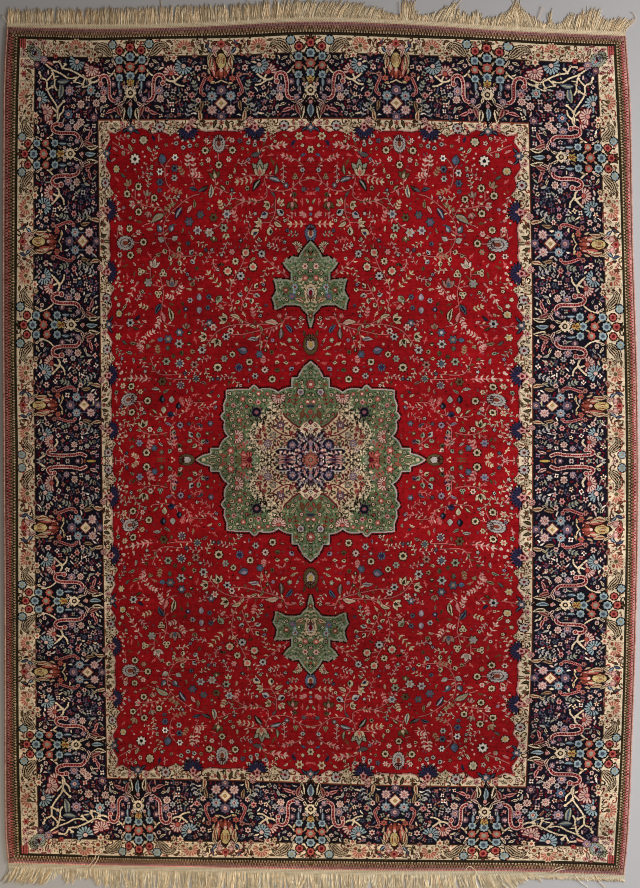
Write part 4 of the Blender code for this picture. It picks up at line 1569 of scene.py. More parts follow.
# The corner, whose places are in the chart
CORNER = table("""
kind    across along size turn yarn  heart rim
palmette 135.6 188.2 4.8  45   sage  slate moss
palmette 134.4 187.0 2.3  45   powder coral maroon
daisy   130.4  185.0 2.1  0    lilac coral maroon
daisy   134.2  182.6 1.7  0    mauve coral maroon
frond   139.4  184.0 2.0  20   blush wine  brown
frond   131.6  191.4 2.0  70   olive blush brown
frond   137.6  181.4 2.0  10   dusk  wine  brown
frond   141.6  190.0 1.8  70   pink  wine  wine
frond   138.4  192.8 1.8  10   pink  wine  wine
frond   132.8  194.0 1.4  10   dusk  wine  wine
rosette 141.4  187.4 1.5  0    blush wine  wine
rosette 134.6  192.4 1.5  0    blush wine  wine
rosette 141.6  182.8 1.3  0    pink  wine  wine
rosette 130.2  193.0 1.2  0    pink  wine  wine
frond   128.6  189.8 1.4  60   olive cream wine
frond   127.4  183.2 2.2  20   coral blush maroon
fan     112.6  184.4 4.3  290  powder blush navy
fan     132.4  166.6 4.2  165  powder blush navy
fan     104.8  181.4 4.0  290  blush pink  wine
fan     129.4  160.4 4.0  165  blush pink  wine
fan     113.2  191.0 3.8  80   coral olive cream
fan     139.4  167.8 3.8  10   coral olive cream
daisy   105.2  170.8 2.5  0    powder coral ink
daisy   116.6  170.6 2.6  0    lilac  coral ink
daisy   102.4  164.6 2.1  0    blush wine  ink
daisy   110.6  164.2 2.2  0    blush coral ink
daisy   117.2  159.4 2.4  0    blue  coral ink
daisy   103.8  157.8 2.2  0    mauve coral ink
daisy   110.8  155.6 2.1  0    blush wine  ink
rosette 98.6   169.6 1.5  0    pink  wine  ink
frond   109.0  169.6 1.8  300  dusk  wine  ink
frond   106.4  164.2 1.4  90   mauve slate ink
frond   114.2  166.4 1.5  40   blush wine  ink
frond   121.6  171.0 4.2  95   sage  slate ink
frond   119.8  175.2 3.4  175  slate sage  ink
rosette 118.4  191.4 2.2  0    cream rust  brown
rosette 123.2  190.6 1.9  0    cream coral brown
rosette 126.8  191.6 1.5  0    ivory coral brown
rosette 124.2  186.9 1.3  0    coral wine  wine
frond   121.0  193.2 1.6  20   olive brown umber
rosette 120.4  187.8 1.4  0    ivory rust  brown
rosette 127.8  188.0 1.2  0    dusk  cream brown
rosette 138.0  177.0 1.8  0    cream rust  brown
rosette 141.2  173.6 1.8  0    ivory coral brown
rosette 137.2  173.2 1.7  0    cream rust  brown
rosette 141.0  178.4 1.5  0    coral wine  brown
frond   138.4  179.6 1.6  30   olive brown umber
""")
CORNER_BRANCHES = (
    ((130, 183.4), (126, 180.4), (121, 178.6), (117.4, 176.2), (113.4, 176.6)),
    ((126, 180.4), (124.4, 176), (124.6, 172), (121.6, 169.6)),
    ((102.6, 177.4), (107, 175.6), (111, 178), (116.4, 180.6), (120.6, 181), (122, 184.4), (125, 184)),
    ((111, 178), (114, 175)),
    ((108.6, 175.8), (109.6, 173.6)),
    ((123, 157.4), (122.6, 162.6), (126, 167), (128.6, 171), (128.4, 175.4), (131.6, 176.6), (132.6, 179)),
    ((122.6, 162.6), (119.6, 165.6)),
    ((128.6, 171), (125.6, 172.4)),
    ((128.4, 175.4), (125.6, 178.4)),
    ((120.6, 181), (119, 183)),
)
# The inner border beside units b and a
INNER_B = table("""
kind    p    q    size turn yarn  heart rim
trefoil 20.0 46.4 2.4  0    cream rust  umber
trefoil 22.8 44.0 1.8  60   cream brown umber
rosette 24.0 48.4 1.5  0    cream olive umber
wheel   29.0 45.4 2.3  0    pearl wine  umber
rosette 8.2  44.4 1.2  0    olive wine  umber
frond   3.0  44.2 2.0  20   moss  olive ink
frond   0    46.0 2.0  0    olive cream ink
rosette 0    43.4 1.1  0    coral moss  ink
frond   9.0  42.8 1.5  80   brown umber umber
frond   6.0  46.0 1.4  40   cream brown brown
""")
INNER_A = table("""
kind    p    q    size turn yarn  heart rim
rosette 0    46.4 2.1  0    slate blush ink
rosette 4.2  44.0 1.3  0    pink  wine  umber
frond   3.0  47.6 1.9  50   navy  slate ink
frond   7.4  44.0 1.8  300  cream moss  umber
""")
# How deep the inner band reaches into the field, by the distance from a unit B
SCALLOPS = table("""
offset depth
0      5.2
6.5    5.8
10.5   4.4
13.5   1.6
16.5   4.6
21.0   7.2
25.0   5.4
28.5   6.4
33.0   3.6
36.7   4.6
""")


def scallop_depth(place, centres, scale):
    """How deep the inner band reaches at places along it, between the centres of units b."""
    offset = np.min([np.abs(place - c) for c in centres], axis=0) / scale
    return np.interp(offset, [r["offset"] for r in SCALLOPS], [r["depth"] for r in SCALLOPS])


def lay_grounds(room, *bands):
    """Fills a border's grounds: each yarn where the room before the border's edge is under its limit."""
    for limit, yarn in bands:
        chart[room < limit] = YARN_INDEX[yarn]


def room_inside(across, along):
    """How far each knot lies inside a border's edge."""
    return np.minimum(across - ACROSS, along - ALONG)


def draw_grounds():
    """The grounds of the inner band, the navy band, the ivory band and the guard stripes."""
    side_depth = scallop_depth(ALONG, (-29.3, 29.3, 102.7, 176.0), 1.0)
    end_depth = scallop_depth(ACROSS, (-41.3, 41.3, 125.0), 1.14)
    scalloped = room_inside(SIDE_INNER - side_depth, END_INNER - end_depth)
    lay_grounds(scalloped, (0.9, "maroon"), (0.55, "pink"), (0.0, "ivory"))
    lay_grounds(room_inside(SIDE_INNER, END_INNER), (0.7, "rust"), (0.3, "umber"), (-0.1, "navy"))
    lay_grounds(room_inside(SIDE_NAVY, END_NAVY), (0.0, "umber"), (-0.45, "sand"), (-0.8, "ivory"))
    guard = room_inside(SIDE_IVORY, END_IVORY)
    lay_grounds(guard, (0.0, "moss"), (-0.7, "umber"), (-1.2, "olive"), (-3.25, "dusk"))


GUARD_PITCH = 1.34
# The guard stripes' rows of dots: how far out each lies, its shift as a share of the pitch
GUARD_ROWS = table("""
yarn   out  shift size
cream  1.62 0     .36
umber  2.25 .5    .52
sand   2.25 0     .26
sand   2.85 .5    .34
umber  2.85 0     .36
brown  3.75 0     .50
rose   3.75 .5    .42
wine   4.75 .5    .50
pink   4.75 0     .44
dusk   5.60 0     .36
""")
END_GUARD_ROWS = table("""
yarn   out  shift size
cream  1.62 0     .34
umber  1.62 .5    .30
brown  2.30 .5    .46
sand   2.30 0     .36
sand   3.00 .5    .40
brown  3.00 0     .40
brown  3.80 0     .50
dusk   3.80 .5    .46
mauve  4.60 .5    .46
dusk   4.60 0     .46
rose   5.30 .5    .42
blush  5.30 0     .36
""")


def guard_dots(end, limit):
    """The dots of the guard stripes along an end or a side, as far as a limit."""
    edge = END_IVORY if end else SIDE_IVORY
    half = HALF_ALONG if end else HALF_ACROSS
    rng = random.Random(7)
    for k in range(int(limit / GUARD_PITCH) + 1):
        for row in END_GUARD_ROWS if end else GUARD_ROWS:
            place = (k + 0.5 + row["shift"]) * GUARD_PITCH + rng.uniform(-0.08, 0.08)
            out = edge + row["out"] + rng.uniform(-0.1, 0.1)
            across, along = (place, out) if end else (out, place)
            if out < half + 0.4:
                blob(across, along, row["size"] * rng.uniform(0.8, 1.1), row["yarn"])


def draw_guards():
    """The guard stripes' dots, which the ends' stripes carry on round the corner."""
    guard_dots(False, END_IVORY + 1.5)
    guard_dots(True, SIDE_IVORY + 3.5)


def draw_corner_square(across, along):
    """A small dark red square with spots of two reds by turns, where the ivory bands meet."""
    view, du, dv = window(across, along, 2.5)
    view[(np.abs(du) < 1.7) & (np.abs(dv) < 2.2)] = YARN_INDEX["maroon"]
    for i in range(-1, 2):
        for k in range(-2, 3):
            blob(across + 1.1 * i, along + 0.85 * k, 0.42, "rose" if (i + k) % 2 else "coral")


# Unit a's stems, with the width of their pale middle
UNIT_A_STEMS = ((BRACKET, 0.6), (ANTLER, 0.8), (ANTLER_FORK, 0.7), (ANTLER_TIP, 0.7))


def draw_unit_a(side, centre):
    """The vase between two scrolls, with a pair of paisleys and antlers."""
    for places, _ in UNIT_A_STEMS:
        border_line(side, centre, places, "ink", 1.3)
    for places, width in UNIT_A_STEMS:
        border_line(side, centre, places, "ivory", width)
    draw_unit(UNIT_A, side, centre, "ink")
    for flip in (1, -1):
        foot = border_path(side, centre, flip, SCROLL_FOOT)
        for yarn, width in (("ink", 1.5), ("blush", 0.9), ("brown", 0.4)):
            stem(foot, yarn, width)
        scroll(border_path(side, centre, flip, SCROLL_PATH), 1.35, "blush", "wine", "rose")
    columns = SIDE_COLUMNS if side and centre == SIDE_A[0] else END_COLUMNS
    draw_unit(columns, side, centre, "ink")
    draw_unit(VASE, side, centre, "ink")
    draw_unit(INNER_A, side, centre, "umber")


def draw_inner_fan(side, centre, flip):
    """A large half flower on the inner border, with a blossom at its root and a dot at each petal."""
    a, t = bordered(side, centre, 15.6 * flip, 46.0)
    turn = facing(side, 0, flip)
    fan(a, t, 5.0, turn, "indigo", "pink", "ink", 9, 80)
    root = moved(a, t, 0.2, 0, turn)
    blob(*root, 1.7, "pink", turn, 1.2, 5)
    blob(*root, 0.7, "wine")
    for k in range(-2, 3):
        blob(*moved(a, t, 6.6, 0, turn + 24 * k), 0.55, "blush")


def draw_unit_b(side, centre):
    """The red palmette with its lattice of daisies, two small scrolls and the fans on the inner border."""
    border_line(side, centre, LATTICE, "slate", 0.5)
    border_line(side, centre, LATTICE_SLANT, "mauve", 0.4)
    draw_unit(UNIT_B, side, centre, "ink")
    for flip in (1, -1):
        scroll(border_path(side, centre, flip, SMALL_RED_SCROLL), 0.95, "pink", "wine", "coral")
    border_line(side, centre, B_ARMS, "ink", 1.1)
    border_line(side, centre, B_ARMS, "cream", 0.45)
    draw_unit(INNER_B, side, centre, "umber")
    for flip in (1, -1):
        draw_inner_fan(side, centre, flip)


def draw_mid_side():
    """The unit in the middle of each side."""
    border_line(True, 0.0, MID_ANTLER, "ivory", 0.8)
    draw_unit(MID_SIDE, True, 0.0, "ink")
    for flip in (1, -1):
        scroll(border_path(True, 0.0, flip, MID_SCROLL), 1.25, "blush", "wine", "rose")


def draw_corner():
    """The corner's branches with their buds, its flowers and its square."""
    for points in CORNER_BRANCHES:
        stem(points, "ink", 1.2)
    for points in CORNER_BRANCHES:
        stem(points, "ivory", 0.66)
        for a, t in points[1::2]:
            blob(a, t, 0.8, "cream", 30, 1.3, 5, 0.3)
            blob(a, t, 0.3, "moss")
        blob(*points[-1], 0.7, "ivory")
    draw(CORNER, "brown")
    draw_corner_square(142.0, 192.6)


INNER_START = (94.0, 149.0)  # where the inner band reaches deepest into the field
# The boxes of the chart that hold each border: near corner, far corner
NAVY_SIDE_BOX = ((SIDE_INNER, 0), (SIDE_NAVY, END_NAVY))
NAVY_END_BOX = ((0, END_INNER), (SIDE_INNER, END_NAVY))
NAVY_END_SHARE = 0.52  # of the places tried on the side
IVORY_BOXES = (
    ((SIDE_NAVY, 0), (SIDE_IVORY, END_IVORY)),
    ((0, END_NAVY), (SIDE_NAVY, END_IVORY)),
    ((INNER_START[0], 0), (SIDE_INNER, END_INNER)),
    ((0, INNER_START[1]), (INNER_START[0], END_INNER)),
)
NAVY_STREWN = ((5200, 1.45, little_blossom), (5200, 1.0, little_leaf), (7000, 0.75, little_spot))
IVORY_STREWN = ((2200, 1.5, outlined_blossom), (4200, 1.02, little_curl), (4200, 0.7, brown_leaf))


def strew_borders(rng):
    """The small flowers, leaves, spots and curls of the navy border and of the ivory ones."""
    strew(NAVY_STREWN, *NAVY_SIDE_BOX, ("navy",), rng)
    strew(NAVY_STREWN, *NAVY_END_BOX, ("navy",), rng, NAVY_END_SHARE)
    for box in IVORY_BOXES:
        strew(IVORY_STREWN, *box, ("ivory",), rng)


def draw_border():
    """All that lies on the borders' grounds."""
    for side, centres in ((True, SIDE_A), (False, END_A)):
        for centre in centres:
            draw_unit_a(side, centre)
    for side, centres in ((True, SIDE_B), (False, END_B)):
        for centre in centres:
            draw_unit_b(side, centre)
    draw_mid_side()
    draw_corner()
    strew_borders(random.Random(5))


def draw_chart():
    """The whole quarter, ground first."""
    draw_grounds()
    draw_guards()
    draw_field()
    draw_border()


# ---------------------------------------------------------------------------
# The weaving: where the charted design lies on the floor
# ---------------------------------------------------------------------------
CHART_HALF_WIDTH = HALF_ACROSS / 100
CHART_HALF_LENGTH = HALF_ALONG / 100
SELVAGE_DIAMETER = 0.010
CLEARANCE = 0.0003
SELVAGE_ROOM = SELVAGE_DIAMETER + CLEARANCE
PILE_THICKNESS = 0.010

# The carpet's edges, as in its solids: place along the edge, place of the edge
LEFT_SIDE = (
    (-1.968, -1.477), (-1.812, -1.490), (-1.200, -1.493), (-0.680, -1.495), (-0.019, -1.499),
    (0.640, -1.502), (1.586, -1.499), (1.822, -1.493), (1.977, -1.482),
)
RIGHT_SIDE = (
    (-2.025, 1.437), (-1.812, 1.457), (-1.340, 1.476), (-1.010, 1.488), (-0.349, 1.503),
    (0.312, 1.499), (0.972, 1.478), (1.586, 1.467), (1.935, 1.445),
)
TOP_END = (
    (-1.482, 1.977), (-1.088, 1.970), (-0.804, 1.972), (-0.521, 1.981), (-0.049, 2.003),
    (0.423, 1.989), (0.895, 1.959), (1.445, 1.935),
)
BOTTOM_END = (
    (-1.477, -1.968), (-1.088, -1.979), (-0.521, -1.990), (0.187, -2.003), (0.895, -2.008), (1.437, -2.025),
)
# Where the design's lines lie on the middle of the floor: place in the chart, place on the carpet
ACROSS_ON_FLOOR = (
    (-1.49, -1.489), (-1.434, -1.427), (-1.345, -1.342), (-1.02, -1.036), (-0.843, -0.881),
    (-0.413, -0.460), (0.0, -0.046), (0.413, 0.366), (0.843, 0.805), (1.02, 1.006),
    (1.345, 1.348), (1.434, 1.440), (1.49, 1.490),
)
ALONG_ON_FLOOR = (
    (-2.00, -2.000), (-1.945, -1.947), (-1.86, -1.869), (-1.57, -1.593), (-1.409, -1.430),
    (-1.027, -1.081), (-0.658, -0.741), (-0.293, -0.390), (0.0, -0.071), (0.293, 0.195),
    (0.658, 0.576), (1.027, 0.972), (1.409, 1.388), (1.57, 1.551), (1.86, 1.853),
    (1.945, 1.942), (2.00, 2.004),
)
# How much farther along the field lies than the border beside it
FIELD_SHIFT = (
    (-2.0, 0.0), (-1.027, 0.0), (-0.65, 0.012), (-0.466, 0.020), (-0.293, 0.027), (0.0, 0.006),
    (0.293, 0.031), (0.466, 0.023), (0.658, 0.011), (1.027, 0.0), (2.0, 0.0),
)
# The bowed lines between the borders: place along the line, place of the line
LEFT_GUARD = (
    (-1.907, -1.409), (-1.435, -1.423), (-0.633, -1.426), (-0.066, -1.427), (0.406, -1.434),
    (0.972, -1.432), (1.586, -1.427), (1.893, -1.418),
)
RIGHT_GUARD = (
    (-1.907, 1.388), (-1.435, 1.417), (-0.916, 1.433), (-0.349, 1.442), (0.217, 1.439),
    (0.972, 1.421), (1.397, 1.407), (1.822, 1.386),
)
LEFT_INNER = ((-1.435, -1.014), (-0.066, -1.036), (1.397, -1.052))
RIGHT_INNER = ((-1.435, 0.982), (-0.916, 1.004), (-0.066, 1.006), (0.689, 1.005), (1.350, 0.992))
TOP_GUARD = (
    (-1.371, 1.921), (-1.088, 1.915), (-0.757, 1.922), (-0.380, 1.928), (-0.049, 1.942),
    (0.376, 1.929), (0.753, 1.916), (1.131, 1.893), (1.367, 1.886),
)
TOP_INNER = (
    (-0.946, 1.544), (-0.568, 1.547), (-0.049, 1.553), (0.376, 1.548), (0.753, 1.534), (0.942, 1.529),
)
BOTTOM_INNER = (
    (-0.946, -1.574), (-0.568, -1.579), (-0.191, -1.589), (0.140, -1.602), (0.565, -1.610), (0.942, -1.614),
)
BOTTOM_GUARD = (
    (-1.371, -1.923), (-0.946, -1.935), (-0.568, -1.942), (-0.049, -1.947), (0.565, -1.954),
    (1.131, -1.959), (1.367, -1.968),
)


def curve(rows, place):
    """A smooth curve through (place, value) rows, read at places; straight past its ends."""
    a, v = np.array(rows, float)[:, :2].T
    last = len(a) - 1
    before, after = np.maximum(np.arange(last + 1) - 1, 0), np.minimum(np.arange(last + 1) + 1, last)
    slope = (v[after] - v[before]) / (a[after] - a[before])
    place = np.asarray(place, float)
    inside = np.clip(place, a[0], a[-1])
    i = np.clip(np.searchsorted(a, inside, side="right") - 1, 0, last - 1)
    span = a[i + 1] - a[i]
    t = (inside - a[i]) / span
    rise = t * t * (3 - 2 * t)
    value = v[i] * (1 - rise) + v[i + 1] * rise
    value += span * slope[i] * t * (1 - t) ** 2 - span * slope[i + 1] * t * t * (1 - t)
    return value + np.where(place < a[0], slope[0], slope[-1]) * (place - inside)


def between(stops, values, place):
    """Straight runs between stops, whose values are arrays like place."""
    place = np.clip(place, stops[0], stops[-1])
    i = np.clip(np.searchsorted(stops, place, side="right") - 1, 0, len(stops) - 2)
    share = (place - np.take(stops, i)) / (np.take(stops, i + 1) - np.take(stops, i))
    values = np.stack(values)
    low = np.take_along_axis(values, i[None], 0)[0]
    high = np.take_along_axis(values, i[None] + 1, 0)[0]
    return low * (1 - share) + high * share


# The lines that bend the chart: place in the chart, line on the floor, how far inside it the place lies
LINES_ACROSS = (
    (-1.49, LEFT_SIDE, SELVAGE_ROOM),
    (-1.434, LEFT_GUARD, 0.0),
    (-1.02, LEFT_INNER, 0.0),
    (0.0, None, 0.0),
    (1.02, RIGHT_INNER, 0.0),
    (1.434, RIGHT_GUARD, 0.0),
    (1.49, RIGHT_SIDE, -SELVAGE_ROOM),
)
LINES_ALONG = (
    (-2.0, BOTTOM_END, 0.0),
    (-1.945, BOTTOM_GUARD, 0.0),
    (-1.57, BOTTOM_INNER, 0.0),
    (0.0, None, 0.0),
    (1.57, TOP_INNER, 0.0),
    (1.945, TOP_GUARD, 0.0),
    (2.0, TOP_END, 0.0),
)
FIELD_HALF = 1.02
FIELD_SHIFT_FADE = 0.25  # how far inside the field's edge its shift is whole


def stray(lines, on_middle, at, place):
    """How far the lines about each place stray from where they lie on the middle of the floor.

    on_middle says where that is, and at is how far along the lines the place lies.
    """
    strays = []
    for station, bowed_line, inside in lines:
        if bowed_line is None:
            strays.append(np.zeros_like(at))
        else:
            strays.append(curve(bowed_line, at) + inside - dict(on_middle)[station])
    return between([station for station, _, _ in lines], strays, place)


def on_floor(across, along):
    """Where places of the chart lie on the floor, as uneven as the loom left them."""
    inside = np.clip((FIELD_HALF - np.abs(across)) / FIELD_SHIFT_FADE, 0, 1)
    inside = inside * inside * (3 - 2 * inside)
    plain_x = curve(ACROSS_ON_FLOOR, across)
    plain_y = curve(ALONG_ON_FLOOR, along) + inside * curve(FIELD_SHIFT, along)
    x, y = plain_x, plain_y
    for _ in range(3):  # the sides' lines depend on y and the ends' on x
        x = plain_x + stray(LINES_ACROSS, ACROSS_ON_FLOOR, y, across)
        y = plain_y + stray(LINES_ALONG, ALONG_ON_FLOOR, x, along)
    return x, y


# ---------------------------------------------------------------------------
# Materials
# ---------------------------------------------------------------------------
def linear(srgb):
    """A colour given in 0..255 as the shader's linear numbers."""
    shares = [c / 255 for c in srgb]
    return [s / 12.92 if s <= 0.04045 else ((s + 0.055) / 1.055) ** 2.4 for s in shares]


class Shader:
    """A material's node tree, with short ways to add nodes."""

    def __init__(self, name, roughness, sheen=0.0, sheen_tint=(1, 1, 1), specular=0.2):
        self.material = bpy.data.materials.new(name)
        self.material.use_nodes = True
        self.tree = self.material.node_tree
        self.surface = self.tree.nodes["Principled BSDF"]
        self.surface.inputs["Roughness"].default_value = roughness
        self.surface.inputs["Specular IOR Level"].default_value = specular
        self.surface.inputs["Sheen Weight"].default_value = sheen
        self.surface.inputs["Sheen Roughness"].default_value = 0.5
        self.surface.inputs["Sheen Tint"].default_value = (*sheen_tint, 1.0)

    def node(self, kind, **settings):
        made = self.tree.nodes.new(kind)
        for name, value in settings.items():
            setattr(made, name, value)
        return made

    def feed(self, socket, value):
        if isinstance(value, bpy.types.NodeSocket):
            self.tree.links.new(value, socket)
        else:
            socket.default_value = value

    def math(self, operation, *values):
        made = self.node("ShaderNodeMath", operation=operation)
        for socket, value in zip(made.inputs, values):
            self.feed(socket, value)
        return made.outputs[0]

    def attribute(self, name):
        return self.node("ShaderNodeAttribute", attribute_name=name)

    def split(self, vector):
        made = self.node("ShaderNodeSeparateXYZ")
        self.feed(made.inputs[0], vector)
        return made.outputs

    def join(self, x, y, z):
        made = self.node("ShaderNodeCombineXYZ")
        for socket, value in zip(made.inputs, (x, y, z)):
            self.feed(socket, value)
        return made.outputs[0]

    def stretched(self, vector, scale):
        made = self.node("ShaderNodeVectorMath", operation="MULTIPLY")
        self.feed(made.inputs[0], vector)
        made.inputs[1].default_value = scale
        return made.outputs[0]

    def noise(self, vector, scale, detail=2.0, roughness=0.5):
        made = self.node("ShaderNodeTexNoise")
        self.feed(made.inputs["Vector"], vector)
        made.inputs["Scale"].default_value = scale
        made.inputs["Detail"].default_value = detail
        made.inputs["Roughness"].default_value = roughness
        return made.outputs["Fac"]

    def chance(self, vector):
        """A number from 0 to 1 that is drawn anew at each place."""
        made = self.node("ShaderNodeTexWhiteNoise", noise_dimensions="3D")
        self.feed(made.inputs["Vector"], vector)
        return made.outputs["Value"]

    def spread(self, value, low, high):
        """A number from 0 to 1 set between two others."""
        made = self.node("ShaderNodeMapRange", clamp=False)
        self.feed(made.inputs["Value"], value)
        made.inputs["To Min"].default_value = low
        made.inputs["To Max"].default_value = high
        return made.outputs[0]

    def eased(self, value, start, end, low, high):
        """A number that goes smoothly from low to high as a value goes from start to end."""
        made = self.node("ShaderNodeMapRange", interpolation_type="SMOOTHSTEP")
        self.feed(made.inputs["Value"], value)
        for name, number in (("From Min", start), ("From Max", end), ("To Min", low), ("To Max", high)):
            made.inputs[name].default_value = number
        return made.outputs[0]

    def ramp(self, value, stops, interpolation="LINEAR"):
        made = self.node("ShaderNodeValToRGB")
        made.color_ramp.interpolation = interpolation
        elements = made.color_ramp.elements
        elements[0].position, elements[1].position = stops[0][0], stops[1][0]
        for place, _ in stops[2:]:
            elements.new(place)
        for element, (_, colour) in zip(elements, stops):
            element.color = (*linear(colour), 1.0)
        self.feed(made.inputs[0], value)
        return made.outputs["Color"]

    def mixed(self, factor, first, second, blend="MIX"):
        made = self.node("ShaderNodeMix", data_type="RGBA", blend_type=blend)
        self.feed(made.inputs["Factor"], factor)
        self.feed(made.inputs[6], first)
        self.feed(made.inputs[7], second)
        return made.outputs[2]

    def shaded(self, colour, factor):
        """A colour made lighter or darker by a number."""
        made = self.node("ShaderNodeVectorMath", operation="SCALE")
        self.feed(made.inputs[0], colour)
        self.feed(made.inputs["Scale"], factor)
        return made.outputs[0]

    def finish(self, colour, height, depth, strength=1.0):
        self.feed(self.surface.inputs["Base Color"], colour)
        bump = self.node("ShaderNodeBump")
        bump.inputs["Strength"].default_value = strength
        bump.inputs["Distance"].default_value = depth
        self.feed(bump.inputs["Height"], height)
        self.feed(self.surface.inputs["Normal"], bump.outputs[0])
        return self.material


KNOTS_PER_FACE = 4  # each way
YARN_LIMIT = 32  # yarns that a face's packed numbers can tell apart
DUST = (150, 120, 96)
DEEPER_RED = 0.25  # painted shade: how much darker the field is made towards its near end


def charted_colour(shader, cell):
    """The colour of each knot's yarn, unpacked from a face's four numbers, one for each row of its knots."""
    knots = shader.attribute("knots")
    rows = shader.node("ShaderNodeSeparateColor")
    shader.feed(rows.inputs[0], knots.outputs["Color"])
    rows = [*rows.outputs, knots.outputs["Alpha"]]
    column, row = cell
    value = 0.0
    for k, packed in enumerate(rows):
        here = shader.math("COMPARE", row, float(k), 0.1)
        value = shader.math("MULTIPLY_ADD", packed, here, value)
    divisor = 1.0
    for k in range(1, KNOTS_PER_FACE):
        past = shader.math("GREATER_THAN", column, k - 0.5)
        divisor = shader.math("MULTIPLY_ADD", past, float(YARN_LIMIT**k - YARN_LIMIT ** (k - 1)), divisor)
    value = shader.math("FLOOR", shader.math("DIVIDE", value, divisor))
    above = shader.math("FLOOR", shader.math("DIVIDE", value, float(YARN_LIMIT)))
    index = shader.math("MULTIPLY_ADD", above, -float(YARN_LIMIT), value)
    place = shader.math("DIVIDE", shader.math("ADD", index, 0.5), float(YARN_LIMIT))
    stops = [(i / YARN_LIMIT, colour) for i, colour in enumerate(YARNS.values())]
    return shader.ramp(place, stops, "CONSTANT")


def painted_near_end_shade(shader, place):
    """Painted shade on the field: the share of its colour that is kept, less towards its near end."""
    x, y, _ = shader.split(place)
    in_field = shader.eased(shader.math("ABSOLUTE", x), 0.97, 1.05, 1.0, 0.0)
    deeper = shader.math("MULTIPLY", in_field, shader.eased(y, -1.62, -1.54, 0.0, 1.0))
    deeper = shader.math("MULTIPLY", deeper, shader.eased(y, -0.85, -0.35, DEEPER_RED, 0.0))
    return shader.math("SUBTRACT", 1.0, deeper)


def make_pile_wool():
    """Cut wool knots in the charted yarns, each dyed and clipped a little unlike its neighbours."""
    shader = Shader("knotted_wool_pile", 0.95, sheen=0.03, sheen_tint=(1.0, 0.85, 0.8), specular=0.05)
    cell = shader.split(shader.attribute("cell").outputs["Vector"])
    last = KNOTS_PER_FACE - 0.001
    clamped = [shader.math("MINIMUM", shader.math("MAXIMUM", side, 0.0), last) for side in cell[:2]]
    floors = [shader.math("FLOOR", side) for side in clamped]
    colour = charted_colour(shader, floors)
    corner = shader.split(shader.attribute("corner").outputs["Vector"])
    knot = shader.join(*[shader.math("ADD", corner[k], floors[k]) for k in range(2)], 0.0)
    chance = shader.chance(knot)
    place = shader.node("ShaderNodeTexCoord").outputs["Object"]
    dyeing = shader.noise(shader.stretched(place, (0.35, 9.0, 1.0)), 1.0, 4.0, 0.6)
    rows = shader.noise(shader.stretched(place, (2.0, 160.0, 1.0)), 1.0, 2.0, 0.6)
    wear = shader.noise(place, 3.2, 4.0, 0.6)
    lint = shader.noise(place, 55.0, 3.0, 0.6)
    factor = shader.spread(chance, 0.80, 1.20)
    for value, swing in ((dyeing, 0.45), (rows, 0.45), (wear, 0.45), (lint, 0.50)):
        factor = shader.math("MULTIPLY", factor, shader.spread(value, 1 - swing, 1 + swing))
    # the field's colour with painted shade, darker towards its near end
    colour = shader.shaded(colour, shader.math("MULTIPLY", factor, painted_near_end_shade(shader, place)))
    dust = shader.math("MULTIPLY", shader.spread(lint, -0.25, 0.6), 0.05)
    colour = shader.mixed(dust, colour, (*linear(DUST), 1.0))
    domes = []
    for side, floor in zip(clamped, floors):
        offset = shader.math("SUBTRACT", shader.math("SUBTRACT", side, floor), 0.5)
        domes.append(shader.math("MULTIPLY", offset, offset))
    dome = shader.math("MULTIPLY_ADD", shader.math("ADD", *domes), -2.0, 1.0)
    tilt = shader.spread(chance, 0.0, 0.8)
    height = shader.math("ADD", shader.math("ADD", dome, tilt), shader.math("MULTIPLY", lint, 1.5))
    return shader.finish(colour, height, 0.0012, 0.35)


def make_foundation():
    """The knots' backs and the cotton they are tied on, seen only at the edges and from below."""
    shader = Shader("woven_foundation", 0.9, sheen=0.1)
    place = shader.node("ShaderNodeTexCoord").outputs["Object"]
    ribs = shader.node("ShaderNodeTexWave", wave_type="BANDS", bands_direction="Y")
    shader.feed(ribs.inputs["Vector"], place)
    ribs.inputs["Scale"].default_value = 56.0
    fibre = shader.noise(place, 400.0, 2.0, 0.6)
    stops = [(0.0, (96, 30, 30)), (0.5, (140, 60, 52)), (1.0, (176, 140, 104))]
    colour = shader.ramp(shader.noise(shader.stretched(place, (1.0, 3.0, 1.0)), 30.0, 3.0, 0.6), stops)
    colour = shader.shaded(colour, shader.spread(fibre, 0.7, 1.2))
    return shader.finish(colour, shader.math("ADD", ribs.outputs["Fac"], fibre), 0.0008, 0.6)


def make_cotton(name, light, dark):
    """Undyed twisted yarn: creamy, greyed where it is worn, with the twist's lines along it in bumps and in
    painted shade.
    """
    shader = Shader(name, 0.85, sheen=0.15, sheen_tint=(1.0, 0.95, 0.85), specular=0.15)
    place = shader.node("ShaderNodeTexCoord").outputs["Object"]
    shade = shader.split(shader.attribute("shade").outputs["Vector"])
    patches = shader.noise(place, 9.0, 3.0, 0.6)
    blend = shader.math("ADD", shader.math("MULTIPLY", shade[0], 0.6), shader.math("MULTIPLY", patches, 0.4))
    colour = shader.ramp(blend, [(0.15, dark), (0.85, light)])
    fibre = shader.noise(place, 900.0, 2.0, 0.6)
    twist = shader.math("SINE", shader.math("MULTIPLY", shade[1], math.tau))
    # the twist's lines darken and lighten the colour: painted shade on the yarn's grooves
    factor = shader.math("MULTIPLY", shader.spread(fibre, 0.88, 1.12), shader.spread(twist, 0.95, 1.05))
    colour = shader.shaded(colour, shader.math("MULTIPLY", factor, shade[2]))
    return shader.finish(colour, shader.math("ADD", twist, fibre), 0.0002, 0.5)


